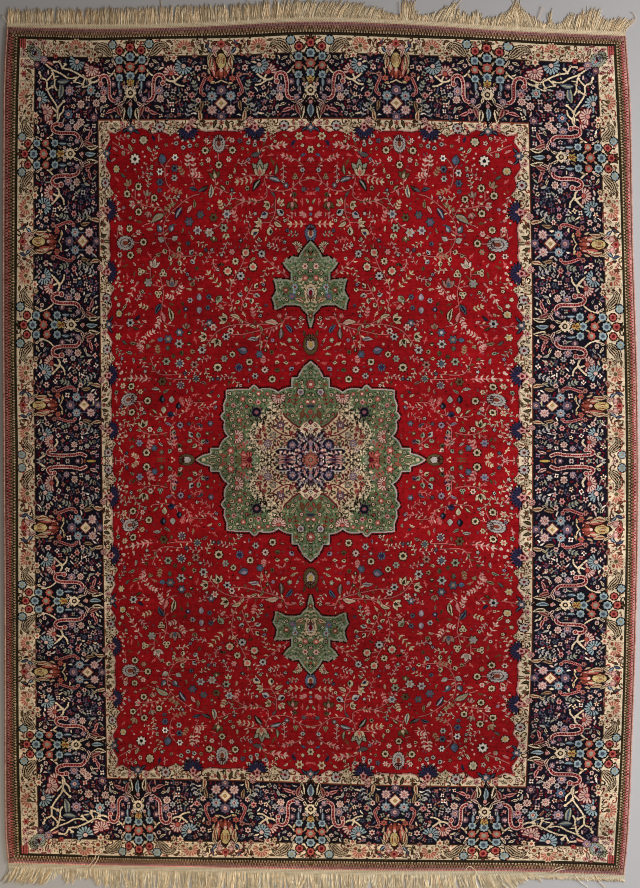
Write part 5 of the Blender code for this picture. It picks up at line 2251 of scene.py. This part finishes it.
def make_overcasting():
    """The wool wound round the side cords, in the pinks and creams of the outer guard stripe."""
    shader = Shader("overcast_wool_yarn", 0.85, sheen=0.3, sheen_tint=(1.0, 0.9, 0.85), specular=0.15)
    place = shader.node("ShaderNodeTexCoord").outputs["Object"]
    shade = shader.split(shader.attribute("shade").outputs["Vector"])
    patches = shader.noise(place, 6.0, 3.0, 0.6)
    blend = shader.math("ADD", shader.math("MULTIPLY", shade[0], 0.5), shader.math("MULTIPLY", patches, 0.5))
    colour = shader.ramp(blend, [(0.2, (150, 98, 86)), (0.5, (188, 134, 116)), (0.8, (206, 168, 142))])
    fibre = shader.noise(place, 700.0, 2.0, 0.6)
    colour = shader.shaded(colour, shader.spread(fibre, 0.85, 1.15))
    return shader.finish(colour, fibre, 0.0004, 0.5)


# ---------------------------------------------------------------------------
# Meshes
# ---------------------------------------------------------------------------
def add_piece(name, vertices, faces, materials, smooth=True):
    """A mesh object in the scene."""
    mesh = bpy.data.meshes.new(name)
    mesh.from_pydata(vertices, [], faces)
    for made in materials:
        mesh.materials.append(made)
    if smooth:
        mesh.shade_smooth()
    piece = bpy.data.objects.new(name, mesh)
    bpy.context.scene.collection.objects.link(piece)
    return piece


def keep(piece, name, kind, domain, values, field="vector"):
    """Stores a named attribute on a piece's mesh."""
    made = piece.data.attributes.new(name, kind, domain)
    made.data.foreach_set(field, np.ascontiguousarray(values, np.float32).ravel())


def whole_chart():
    """The quarter mirrored to the whole design."""
    half = np.concatenate([chart[:, ::-1], chart], axis=1)
    return np.concatenate([half[::-1], half], axis=0)


def packed_knots():
    """For each face, one number for each row of its knots, with a yarn in each digit."""
    knots = whole_chart().astype(float)
    n = KNOTS_PER_FACE
    tall, wide = knots.shape[0] // n, knots.shape[1] // n
    blocks = knots.reshape(tall, n, wide, n).transpose(0, 2, 1, 3)
    return (blocks * YARN_LIMIT ** np.arange(n)).sum(axis=3), tall, wide


RIM_DROP = 0.0028  # how much lower the outermost knots are clipped
RIM_OUT = 0.0004  # how far the wall stands out at WALL_HEIGHT
WALL_HEIGHT = 0.0045


def pile_walls(vertices, rim):
    """The pile's wall in two rings under its rim: the vertices, and the faces, whose last one is the base."""
    centre = vertices.mean(axis=0)
    rings = []
    for height, out in ((WALL_HEIGHT, RIM_OUT), (0.0, 0.0)):
        ring = vertices[rim].copy()
        ring[:, :2] += out * np.sign(ring[:, :2] - centre[:2])
        ring[:, 2] = height
        rings.append(ring)
    low = np.arange(len(rim)) + len(vertices)
    base = low + len(rim)
    walls = []
    for above, below in ((rim, low), (low, base)):
        walls.append(np.stack([above, below, np.roll(below, -1), np.roll(above, -1)], axis=1))
    return np.concatenate(rings), np.concatenate(walls).tolist() + [base[::-1].tolist()]


def keep_knots(piece, packed, tall, wide):
    """Stores what the wool's material reads: a face's packed yarns, its first knot and its corners."""
    n = KNOTS_PER_FACE
    rest = len(piece.data.polygons) - tall * wide
    yarns = np.concatenate([packed.reshape(-1, 4), np.zeros((rest, 4))])
    keep(piece, "knots", "FLOAT_COLOR", "FACE", yarns, "color")
    column, row = np.meshgrid(np.arange(wide) * n, np.arange(tall) * n)
    corner = np.stack([column, row, 0 * row], axis=2).reshape(-1, 3)
    keep(piece, "corner", "FLOAT_VECTOR", "FACE", np.concatenate([corner, np.zeros((rest, 3))]))
    cell = np.tile(np.array([[0, 0, 0], [n, 0, 0], [n, n, 0], [0, n, 0]], float), (tall * wide, 1))
    loops = len(piece.data.loops)
    keep(piece, "cell", "FLOAT_VECTOR", "CORNER", np.concatenate([cell, np.zeros((loops - len(cell), 3))]))


def build_pile(wool, foundation):
    """The knotted surface, a face for every 4 x 4 knots, on the solid's own flat form."""
    packed, tall, wide = packed_knots()
    across, along = np.meshgrid(
        np.linspace(-CHART_HALF_WIDTH, CHART_HALF_WIDTH, wide + 1),
        np.linspace(-CHART_HALF_LENGTH, CHART_HALF_LENGTH, tall + 1),
    )
    x, y = on_floor(across, along)
    z = np.full_like(x, PILE_THICKNESS)
    z[0], z[-1], z[:, 0], z[:, -1] = [PILE_THICKNESS - RIM_DROP] * 4
    index = np.arange(x.size).reshape(x.shape)
    top = np.stack([index[:-1, :-1], index[:-1, 1:], index[1:, 1:], index[1:, :-1]], axis=2).reshape(-1, 4)
    rim = np.concatenate([index[0, :-1], index[:-1, -1], index[-1, :0:-1], index[:0:-1, 0]])
    vertices = np.stack([x, y, z], axis=2).reshape(-1, 3)
    wall_vertices, wall_faces = pile_walls(vertices, rim)
    vertices = np.concatenate([vertices, wall_vertices])
    faces = top.tolist() + wall_faces
    piece = add_piece("carpet_pile", vertices.tolist(), faces, [wool, foundation])
    slots = np.zeros(len(faces), np.int32)
    slots[len(top):] = 1
    piece.data.polygons.foreach_set("material_index", slots)
    keep_knots(piece, packed, tall, wide)
    return piece


WRAPS_PER_METRE = 300
WRAP_SIDES = 8
WRAP_DEPTH = 0.0007
WRAP_SLANT = 0.0012


def side_ends(side):
    """Where the side's outer edge meets the two ends' last knots."""
    found = []
    for end in (BOTTOM_END, TOP_END):
        x = side[0][1]
        for _ in range(5):
            y = float(curve(end, x))
            x = float(curve(side, y))
        found.append(y)
    return found


def build_selvage(name, side, inward, wool, seed):
    """Warps overcast with wool: a cord whose wraps stand up as slanting ridges."""
    rng = np.random.default_rng(seed)
    low, high = side_ends(side)
    radius = SELVAGE_DIAMETER / 2
    wraps = int((high - low) * WRAPS_PER_METRE)
    rings = 2 * wraps + 1
    along = np.linspace(low + 4 * CLEARANCE, high - 4 * CLEARANCE, rings)
    angle = np.arange(WRAP_SIDES) * math.tau / WRAP_SIDES
    groove = np.where(np.arange(rings) % 2 == 0, WRAP_DEPTH, 0.0) + rng.uniform(0, 0.3 * WRAP_DEPTH, rings)
    size = (radius - groove)[:, None]
    slant = WRAP_SLANT * np.cos(angle)[None, :]
    x = (curve(side, along) + inward * radius)[:, None] + size * np.cos(angle)
    z = radius + size * np.sin(angle)
    y = along[:, None] + slant
    y[0], y[-1] = along[0], along[-1]
    vertices = np.stack([x, y, z], axis=2).reshape(-1, 3)
    index = np.arange(rings * WRAP_SIDES).reshape(rings, WRAP_SIDES)
    right = np.roll(index, -1, axis=1)
    faces = np.stack([index[:-1], index[1:], right[1:], right[:-1]], axis=2).reshape(-1, 4).tolist()
    faces += [index[0].tolist(), index[-1][::-1].tolist()]
    piece = add_piece(name, vertices.tolist(), faces, [wool])
    shade = np.repeat(rng.uniform(0, 1, (wraps + 1, 1)), 2, axis=0)[:rings]
    shade = np.repeat(np.concatenate([shade, shade * 0, shade * 0 + 1], axis=1), WRAP_SIDES, axis=0)
    keep(piece, "shade", "FLOAT_VECTOR", "POINT", shade)
    return piece


# The fringe's yarns at each end, as in the solids: place across, reach past the last knots, lean to +X
TOP_YARNS = (
    (-1.482, 0.078, -0.05), (-1.200, 0.086, 0.00), (-0.800, 0.094, 0.00), (-0.330, 0.092, 0.05),
    (-0.120, 0.098, 0.25), (0.000, 0.092, 0.45), (0.090, 0.088, 0.55), (0.200, 0.076, 0.55),
    (0.281, 0.062, 0.50), (0.345, 0.046, 0.40), (0.375, 0.050, 0.20), (0.388, 0.106, 0.05),
    (0.430, 0.106, 0.05), (0.447, 0.056, 0.40), (0.515, 0.056, 0.40), (0.545, 0.085, 0.65),
    (0.600, 0.106, 0.40), (0.632, 0.100, 0.20), (0.660, 0.060, 0.20), (0.678, 0.078, 0.10),
    (0.700, 0.056, 0.20), (0.730, 0.090, 0.20), (0.760, 0.056, 0.30), (0.820, 0.066, 0.35),
    (0.855, 0.092, 0.50), (0.928, 0.130, 0.00), (1.010, 0.088, -0.40), (1.045, 0.052, 0.00),
    (1.075, 0.052, 0.00), (1.085, 0.106, 0.00), (1.100, 0.052, 0.10), (1.130, 0.052, 0.30),
    (1.150, 0.082, 0.30), (1.220, 0.098, 0.30), (1.285, 0.116, 0.20), (1.310, 0.078, 0.45),
    (1.380, 0.078, 0.70), (1.445, 0.072, 0.85),
)
BOTTOM_YARNS = (
    (-1.477, 0.084, -0.55), (-1.350, 0.088, -0.65), (-1.262, 0.090, -0.45), (-1.240, 0.050, 0.00),
    (-1.222, 0.050, 0.00), (-1.200, 0.088, 0.05), (-1.150, 0.068, 0.10), (-1.070, 0.066, 0.05),
    (-1.040, 0.090, 0.00), (-0.900, 0.106, 0.00), (0.470, 0.106, 0.05), (0.700, 0.104, 0.40),
    (0.850, 0.088, 0.80), (0.930, 0.056, 0.80), (0.990, 0.036, 0.40), (1.437, 0.034, 0.30),
)
# Loose warp ends that lie apart: where each starts, bends and ends, and the height there
TOP_STRAYS = """
x0     y0     z0    x1     y1     z1    x2     y2     z2
1.438  1.968  .004  1.489  2.015  .006  1.466  2.048  .003
1.022  2.008  .004  1.046  2.062  .007  1.040  2.072  .003
-1.474 1.996  .004  -1.490 2.012  .007  -1.502 2.036  .002
.372   2.010  .004  .380   2.070  .007  .368   2.094  .003
"""
BOTTOM_STRAYS = """
x0     y0     z0    x1     y1     z1    x2     y2     z2
-1.110 -1.990 .006  -1.076 -1.962 .013  -1.056 -1.922 .0125
-1.086 -1.996 .006  -1.062 -1.968 .013  -1.044 -1.932 .0125
1.084  -2.018 .006  1.108  -1.996 .012  1.142  -1.984 .0115
1.096  -2.020 .006  1.124  -2.002 .012  1.156  -1.996 .0115
1.200  -2.024 .006  1.226  -2.056 .006  1.264  -2.084 .002
1.296  -2.026 .006  1.318  -2.058 .006  1.344  -2.086 .002
.684   -2.010 .006  .700   -1.984 .013  .722   -1.994 .012
.722   -1.994 .012  .736   -2.016 .010  .708   -2.036 .006
.960   -2.016 .006  1.000  -2.024 .010  1.046  -2.060 .002
"""
CURL_LENGTH = 0.10  # the lean of a yarn is whole at this length
YARNS_PER_END = 2450
ROOT_OUT = 0.019  # where the yarns leave the web
YARN_RINGS = 9
YARN_SIDES = 3
YARN_RADIUS = 0.0014
STRAY_RADIUS = 0.0016
STRAY_LENGTH = 0.06
LEAST_REACH = 0.009
CLUMP_BREAK = 0.16  # how often a yarn starts a new clump
CLUMP_LEAN = 35.0  # how unlike the clumps lean, for each metre of a yarn's waves
TWIST_TURNS = 260  # of a yarn, in a metre


def tube(paths, radii):
    """Yarns along paths: arrays of (yarn, ring, xyz) and a radius for each ring, one flat side up."""
    yarns, rings, _ = paths.shape
    along = np.gradient(paths, axis=1)
    along /= np.linalg.norm(along, axis=2, keepdims=True)
    beside = np.stack([along[..., 1], -along[..., 0], np.zeros_like(along[..., 0])], axis=2)
    beside /= np.maximum(np.linalg.norm(beside, axis=2, keepdims=True), 1e-6)
    above = np.cross(beside, along)
    angle = (np.arange(YARN_SIDES) + 0.25) * math.tau / YARN_SIDES
    spread = radii[..., None, None] * (
        np.cos(angle)[:, None] * beside[:, :, None, :] + np.sin(angle)[:, None] * above[:, :, None, :]
    )
    vertices = (paths[:, :, None, :] + spread).reshape(-1, 3)
    index = np.arange(yarns * rings * YARN_SIDES).reshape(yarns, rings, YARN_SIDES)
    right = np.roll(index, -1, axis=2)
    faces = np.stack([index[:, :-1], right[:, :-1], right[:, 1:], index[:, 1:]], axis=3).reshape(-1, 4)
    caps = np.concatenate([index[:, 0, ::-1], index[:, -1]])
    return vertices, faces, caps


def stray_paths(text):
    """Three-point curves, smoothed, for the loose ends."""
    share = np.linspace(0, 1, YARN_RINGS)[:, None]
    paths = []
    for row in table(text):
        first, bend, last = (np.array([row[f"{axis}{k}"] for axis in "xyz"]) for k in range(3))
        crest = 2 * bend - (first + last) / 2
        paths.append((1 - share) ** 2 * first + 2 * share * (1 - share) * crest + share**2 * last)
    return np.array(paths)


def spread_roots(left, right, rng):
    """Where the yarns leave the web, and the number of the clump that each belongs to."""
    count = YARNS_PER_END
    root = np.linspace(left + 0.004, right - 0.004, count) + rng.uniform(-0.0008, 0.0008, count)
    clump = np.cumsum(rng.uniform(0, 1, count) < CLUMP_BREAK)
    return root, clump - clump[0]


def lay_yarns(end, outward, stations, wave_size, root, clump, rng):
    """The yarns as they lie on the floor: paths, radii, length, layer in the heap, tone of their clump."""
    count, clumps = len(root), clump.max() + 1
    middle = np.array([root[clump == c].mean() for c in range(clumps)])[clump]
    clump_lean = rng.normal(0, CLUMP_LEAN * wave_size, clumps)[clump]
    clump_reach = rng.normal(0, 0.035, clumps)[clump]
    clump_tone = rng.uniform(0.70, 1.12, clumps)[clump]
    unlike = 1 + clump_reach + rng.normal(0, 0.09, count)
    reach = curve([station[:2] for station in stations], root) * unlike - ROOT_OUT
    reach = np.maximum(reach, LEAST_REACH)
    lean = curve([(place, lean) for place, _, lean in stations], root)
    lean = lean + clump_lean + rng.normal(0, 0.06, count)
    share = np.linspace(0, 1, YARN_RINGS)[None, :]
    out = reach[:, None] * share
    gather = rng.uniform(0.0, 0.55, count)[:, None] * share**1.5
    start = root[:, None] + (middle - root)[:, None] * gather
    across = start + lean[:, None] * out * (0.5 + 0.5 * out / CURL_LENGTH)
    phase = rng.uniform(0, math.tau, (clumps, 2))[clump] + rng.normal(0, 0.5, (count, 2))
    turns = rng.uniform(3, 8, clumps)[clump] + rng.normal(0, 0.4, count)
    wave = rng.uniform(0.2, 1.0, count)[:, None] * wave_size * share
    across += wave * np.sin(share * turns[:, None] + phase[:, :1])
    along = curve(end, root)[:, None] + outward * (ROOT_OUT - 0.002 + out)
    layer = rng.uniform(0.0, 1.0, count)[:, None]
    root_height = 0.0012 + 0.0016 * layer
    lying = YARN_RADIUS + layer * 0.0034 * (1 - 0.3 * share)
    height = root_height * (1 - share) + lying * share + 0.0015 * share * np.sin(3 * share + phase[:, 1:])
    radii = YARN_RADIUS * rng.uniform(0.75, 1.15, count)[:, None] * (1 - 0.20 * share**2)
    return np.stack([across, along, height], axis=2), radii, reach, layer, clump_tone


def yarn_dimness(outward, layer, tone, clump, rng):
    """How light each yarn is at each ring, painted shade included; the loose yarns come last."""
    # yarns low in the heap are painted darker than those on top: painted shade
    dim = tone * (0.96 + 0.10 * layer) * np.ones((1, YARN_RINGS))
    if outward > 0:  # rows of twining hold the top end's yarns near their roots
        by_turns = np.arange(len(clump)) % 8 < 4
        dim[:len(clump), 1] *= np.where(by_turns, 0.55, 1.05)
        dim[:len(clump), 2] *= np.where(by_turns, 1.05, 0.62)
    else:  # the other end's are darker and lighter along them at random: painted shadows between their curls
        dim[:len(clump)] *= rng.uniform(0.68, 1.12, (clump.max() + 1, YARN_RINGS))[clump]
    return dim


def build_fringe(name, end, outward, stations, strays, wave_size, cotton, seed):
    """Twisted warp ends past the web, drawn a little together as they lie on the floor."""
    rng = np.random.default_rng(seed)
    level = np.mean([along for _, along in end])
    left, right = float(curve(LEFT_SIDE, level)), float(curve(RIGHT_SIDE, level))
    root, clump = spread_roots(left, right, rng)
    paths, radii, reach, layer, tone = lay_yarns(end, outward, stations, wave_size, root, clump, rng)
    loose = stray_paths(strays)
    paths = np.concatenate([paths, loose])
    radii = np.concatenate([radii, np.full(loose.shape[:2], STRAY_RADIUS)])
    paths[..., 2] = np.maximum(paths[..., 2], radii)
    vertices, faces, caps = tube(paths, radii)
    blend = rng.uniform(-0.3, 1.3, len(paths))[:, None] * np.ones((1, YARN_RINGS))
    layer = np.concatenate([layer, np.ones((len(loose), 1))])
    tone = np.concatenate([tone, np.ones(len(loose))])[:, None]
    dim = yarn_dimness(outward, layer, tone, clump, rng)
    lengths = np.concatenate([reach, np.full(len(loose), STRAY_LENGTH)])
    twist = np.linspace(0, 1, YARN_RINGS) * lengths[:, None] * TWIST_TURNS
    shade = np.repeat(np.stack([blend, twist, dim], axis=2).reshape(-1, 3), YARN_SIDES, axis=0)
    web_vertices, web_faces, web_shade = web(end, outward, left, right, rng)
    faces = faces.tolist() + caps.tolist() + (web_faces + len(vertices)).tolist()
    vertices = np.concatenate([vertices, web_vertices])
    piece = add_piece(name, vertices.tolist(), faces, [cotton])
    keep(piece, "shade", "FLOAT_VECTOR", "POINT", np.concatenate([shade, web_shade]))
    return piece


WEB_COLUMNS = 1040
WEB_WIDTH = 0.024
DENT_SHADE = 0.6  # a row with a shade under this has dents with threads between them
THREAD_SHADE = 0.97
THREAD_RISE = 0.0014
BOTTOM_WEB_TONE = 0.74  # how much darker the bottom end's web is made
# Across the web, from the last knots: share of its width, height, shade, shift of its dents along the row
# The dent rows' low shades, and the darker rows where the web's edges come down to the floor, are painted
# shade.
WEB_ROWS = (
    (0.00, 0.0000, 0.80, 0),
    (0.00, 0.0040, 0.92, 0),
    (0.08, 0.0046, 1.00, 0),
    (0.16, 0.0042, 1.00, 0),
    (0.25, 0.0026, 0.22, 0),
    (0.34, 0.0042, 1.00, 0),
    (0.41, 0.0042, 1.00, 0),
    (0.50, 0.0026, 0.22, 2),
    (0.59, 0.0042, 1.00, 0),
    (0.66, 0.0040, 1.00, 0),
    (0.75, 0.0022, 0.12, 0),
    (0.84, 0.0036, 1.00, 0),
    (1.00, 0.0016, 0.90, 0),
    (1.00, 0.0000, 0.70, 0),
)


def web(end, outward, left, right, rng):
    """The flat-woven strip, with its ribs and three rows of small dents between the warps, the dents painted
    dark as shade.
    """
    x = np.linspace(left + 0.001, right - 0.001, WEB_COLUMNS)
    width, rise, tone, shift = np.array(WEB_ROWS).T[:, None, :]
    odd = (np.arange(WEB_COLUMNS)[:, None] + shift) % 4 < 2
    thread = (tone < DENT_SHADE) & odd
    height = rise + np.where(thread, THREAD_RISE, 0.0)
    height = height + rng.uniform(-0.0002, 0.0002, height.shape) * (rise > 0)
    # the dents keep their rows' dark painted shade; the threads across them stay light
    shade = np.where(thread, THREAD_SHADE, tone) * np.ones((WEB_COLUMNS, 1))
    y = curve(end, x)[:, None] + outward * (CLEARANCE + width * (WEB_WIDTH - CLEARANCE))
    vertices = np.stack([x[:, None] * np.ones_like(y), y, np.maximum(height, 0)], axis=2)
    index = np.arange(vertices.shape[0] * vertices.shape[1]).reshape(vertices.shape[:2])
    following = np.roll(index, -1, axis=1)
    faces = np.stack([index[:-1], index[1:], following[1:], following[:-1]], axis=2).reshape(-1, 4)
    if outward > 0:
        faces = faces[:, ::-1]
    tint = rng.uniform(0.4, 0.9, (WEB_COLUMNS, 1)) * np.ones_like(shade)
    shade = shade * rng.uniform(0.84, 1.06, (WEB_COLUMNS, 1)) * (1.0 if outward > 0 else BOTTOM_WEB_TONE)
    shades = np.stack([tint, np.zeros_like(shade), shade], axis=2).reshape(-1, 3)
    return vertices.reshape(-1, 3), faces, shades


# ---------------------------------------------------------------------------
# Camera, light and floor
# ---------------------------------------------------------------------------
CAMERA_HEIGHT = 9.0
FRAME_LENGTH = 4.1914  # what the picture's long side takes in, at the pile
FRAME_CENTRE = (-0.0019, 0.0094)
SENSOR = 0.036


def add_camera():
    """Straight above, with the pile framed as in the picture."""
    data = bpy.data.cameras.new("camera")
    data.sensor_width = SENSOR * 1000
    data.lens = SENSOR * 1000 * (CAMERA_HEIGHT - PILE_THICKNESS) / FRAME_LENGTH
    data.clip_end = 100.0
    camera = bpy.data.objects.new("camera", data)
    camera.location = (*FRAME_CENTRE, CAMERA_HEIGHT)
    bpy.context.scene.collection.objects.link(camera)
    bpy.context.scene.camera = camera


def add_area_light(name, place, aim, size, power, colour, spread):
    """A rectangular light that shines from a place towards another, its spread in degrees."""
    data = bpy.data.lights.new(name, "AREA")
    data.spread = math.radians(spread)
    data.shape = "RECTANGLE"
    data.size, data.size_y = size
    data.energy = power
    data.color = colour
    light = bpy.data.objects.new(name, data)
    light.location = place
    way = np.array(aim, float) - np.array(place, float)
    flat = math.hypot(way[0], way[1])
    light.rotation_euler = (math.atan2(flat, -way[2]), 0.0, math.atan2(way[1], way[0]) - math.pi / 2)
    bpy.context.scene.collection.objects.link(light)


def add_world(colour, strength):
    """Even light from all round."""
    world = bpy.data.worlds.new("studio")
    world.use_nodes = True
    background = world.node_tree.nodes["Background"]
    background.inputs["Color"].default_value = (*colour, 1.0)
    background.inputs["Strength"].default_value = strength
    bpy.context.scene.world = world


FLOOR_COLOUR = (186, 182, 180)
FLOOR_HALF = 40.0
FLOOR_DROP = 0.0004  # the floor lies this much under the carpet


def add_floor():
    """A wide pale floor, which is only a stage."""
    shader = Shader("pale_floor", 0.8, specular=0.2)
    place = shader.node("ShaderNodeTexCoord").outputs["Object"]
    grain = shader.noise(place, 40.0, 3.0, 0.6)
    colour = shader.shaded(linear(FLOOR_COLOUR), shader.spread(grain, 0.98, 1.02))
    made = shader.finish(colour, grain, 0.0005, 0.1)
    corners = [(x * FLOOR_HALF, y * FLOOR_HALF, 0) for x, y in ((-1, -1), (1, -1), (1, 1), (-1, 1))]
    floor = add_piece("floor", corners, [(0, 1, 2, 3)], [made], smooth=False)
    floor.location.z = -FLOOR_DROP


# ---------------------------------------------------------------------------
# The carpet
# ---------------------------------------------------------------------------
draw_chart()
wool = make_pile_wool()
foundation = make_foundation()
overcasting = make_overcasting()
cotton_top = make_cotton("warp_cotton_top", (255, 234, 196), (232, 196, 150))
cotton_bottom = make_cotton("warp_cotton_bottom", (255, 241, 210), (244, 212, 164))
pile = build_pile(wool, foundation)
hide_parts("pile")
selvage_left = build_selvage("selvage_left_wrapped", LEFT_SIDE, 1, overcasting, 21)
selvage_right = build_selvage("selvage_right_wrapped", RIGHT_SIDE, -1, overcasting, 22)
fringe_top = build_fringe("fringe_top_yarns", TOP_END, 1, TOP_YARNS, TOP_STRAYS, 0.0020, cotton_top, 31)
fringe_bottom = build_fringe(
    "fringe_bottom_yarns", BOTTOM_END, -1, BOTTOM_YARNS, BOTTOM_STRAYS, 0.0050, cotton_bottom, 32
)
for piece, node, slot in (
    (selvage_left, "selvage_left", "overcast_wool"),
    (selvage_right, "selvage_right", "overcast_wool"),
    (fringe_top, "fringe_top", "warp_cotton"),
    (fringe_bottom, "fringe_bottom", "warp_cotton"),
):
    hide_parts(node)
for piece in (pile, selvage_left, selvage_right, fringe_top, fringe_bottom):
    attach(piece, "root")

add_floor()
add_camera()
add_world((1.0, 0.91, 0.80), 0.195)
add_area_light("key", (3.4, -0.3, 1.9), (0.0, -0.3, 1.9), (6.0, 1.8), 230.0, (0.96, 1.0, 1.06), 180)
add_area_light("near_end", (-0.8, -3.9, 1.1), (-0.8, -2.0, 0.0), (3.0, 0.6), 8.0, (1.0, 0.89, 0.70), 60)
bpy.context.scene.cycles.filter_width = 1.0  # narrow, so that the knots stay crisp
bpy.context.scene.view_settings.view_transform = "Standard"
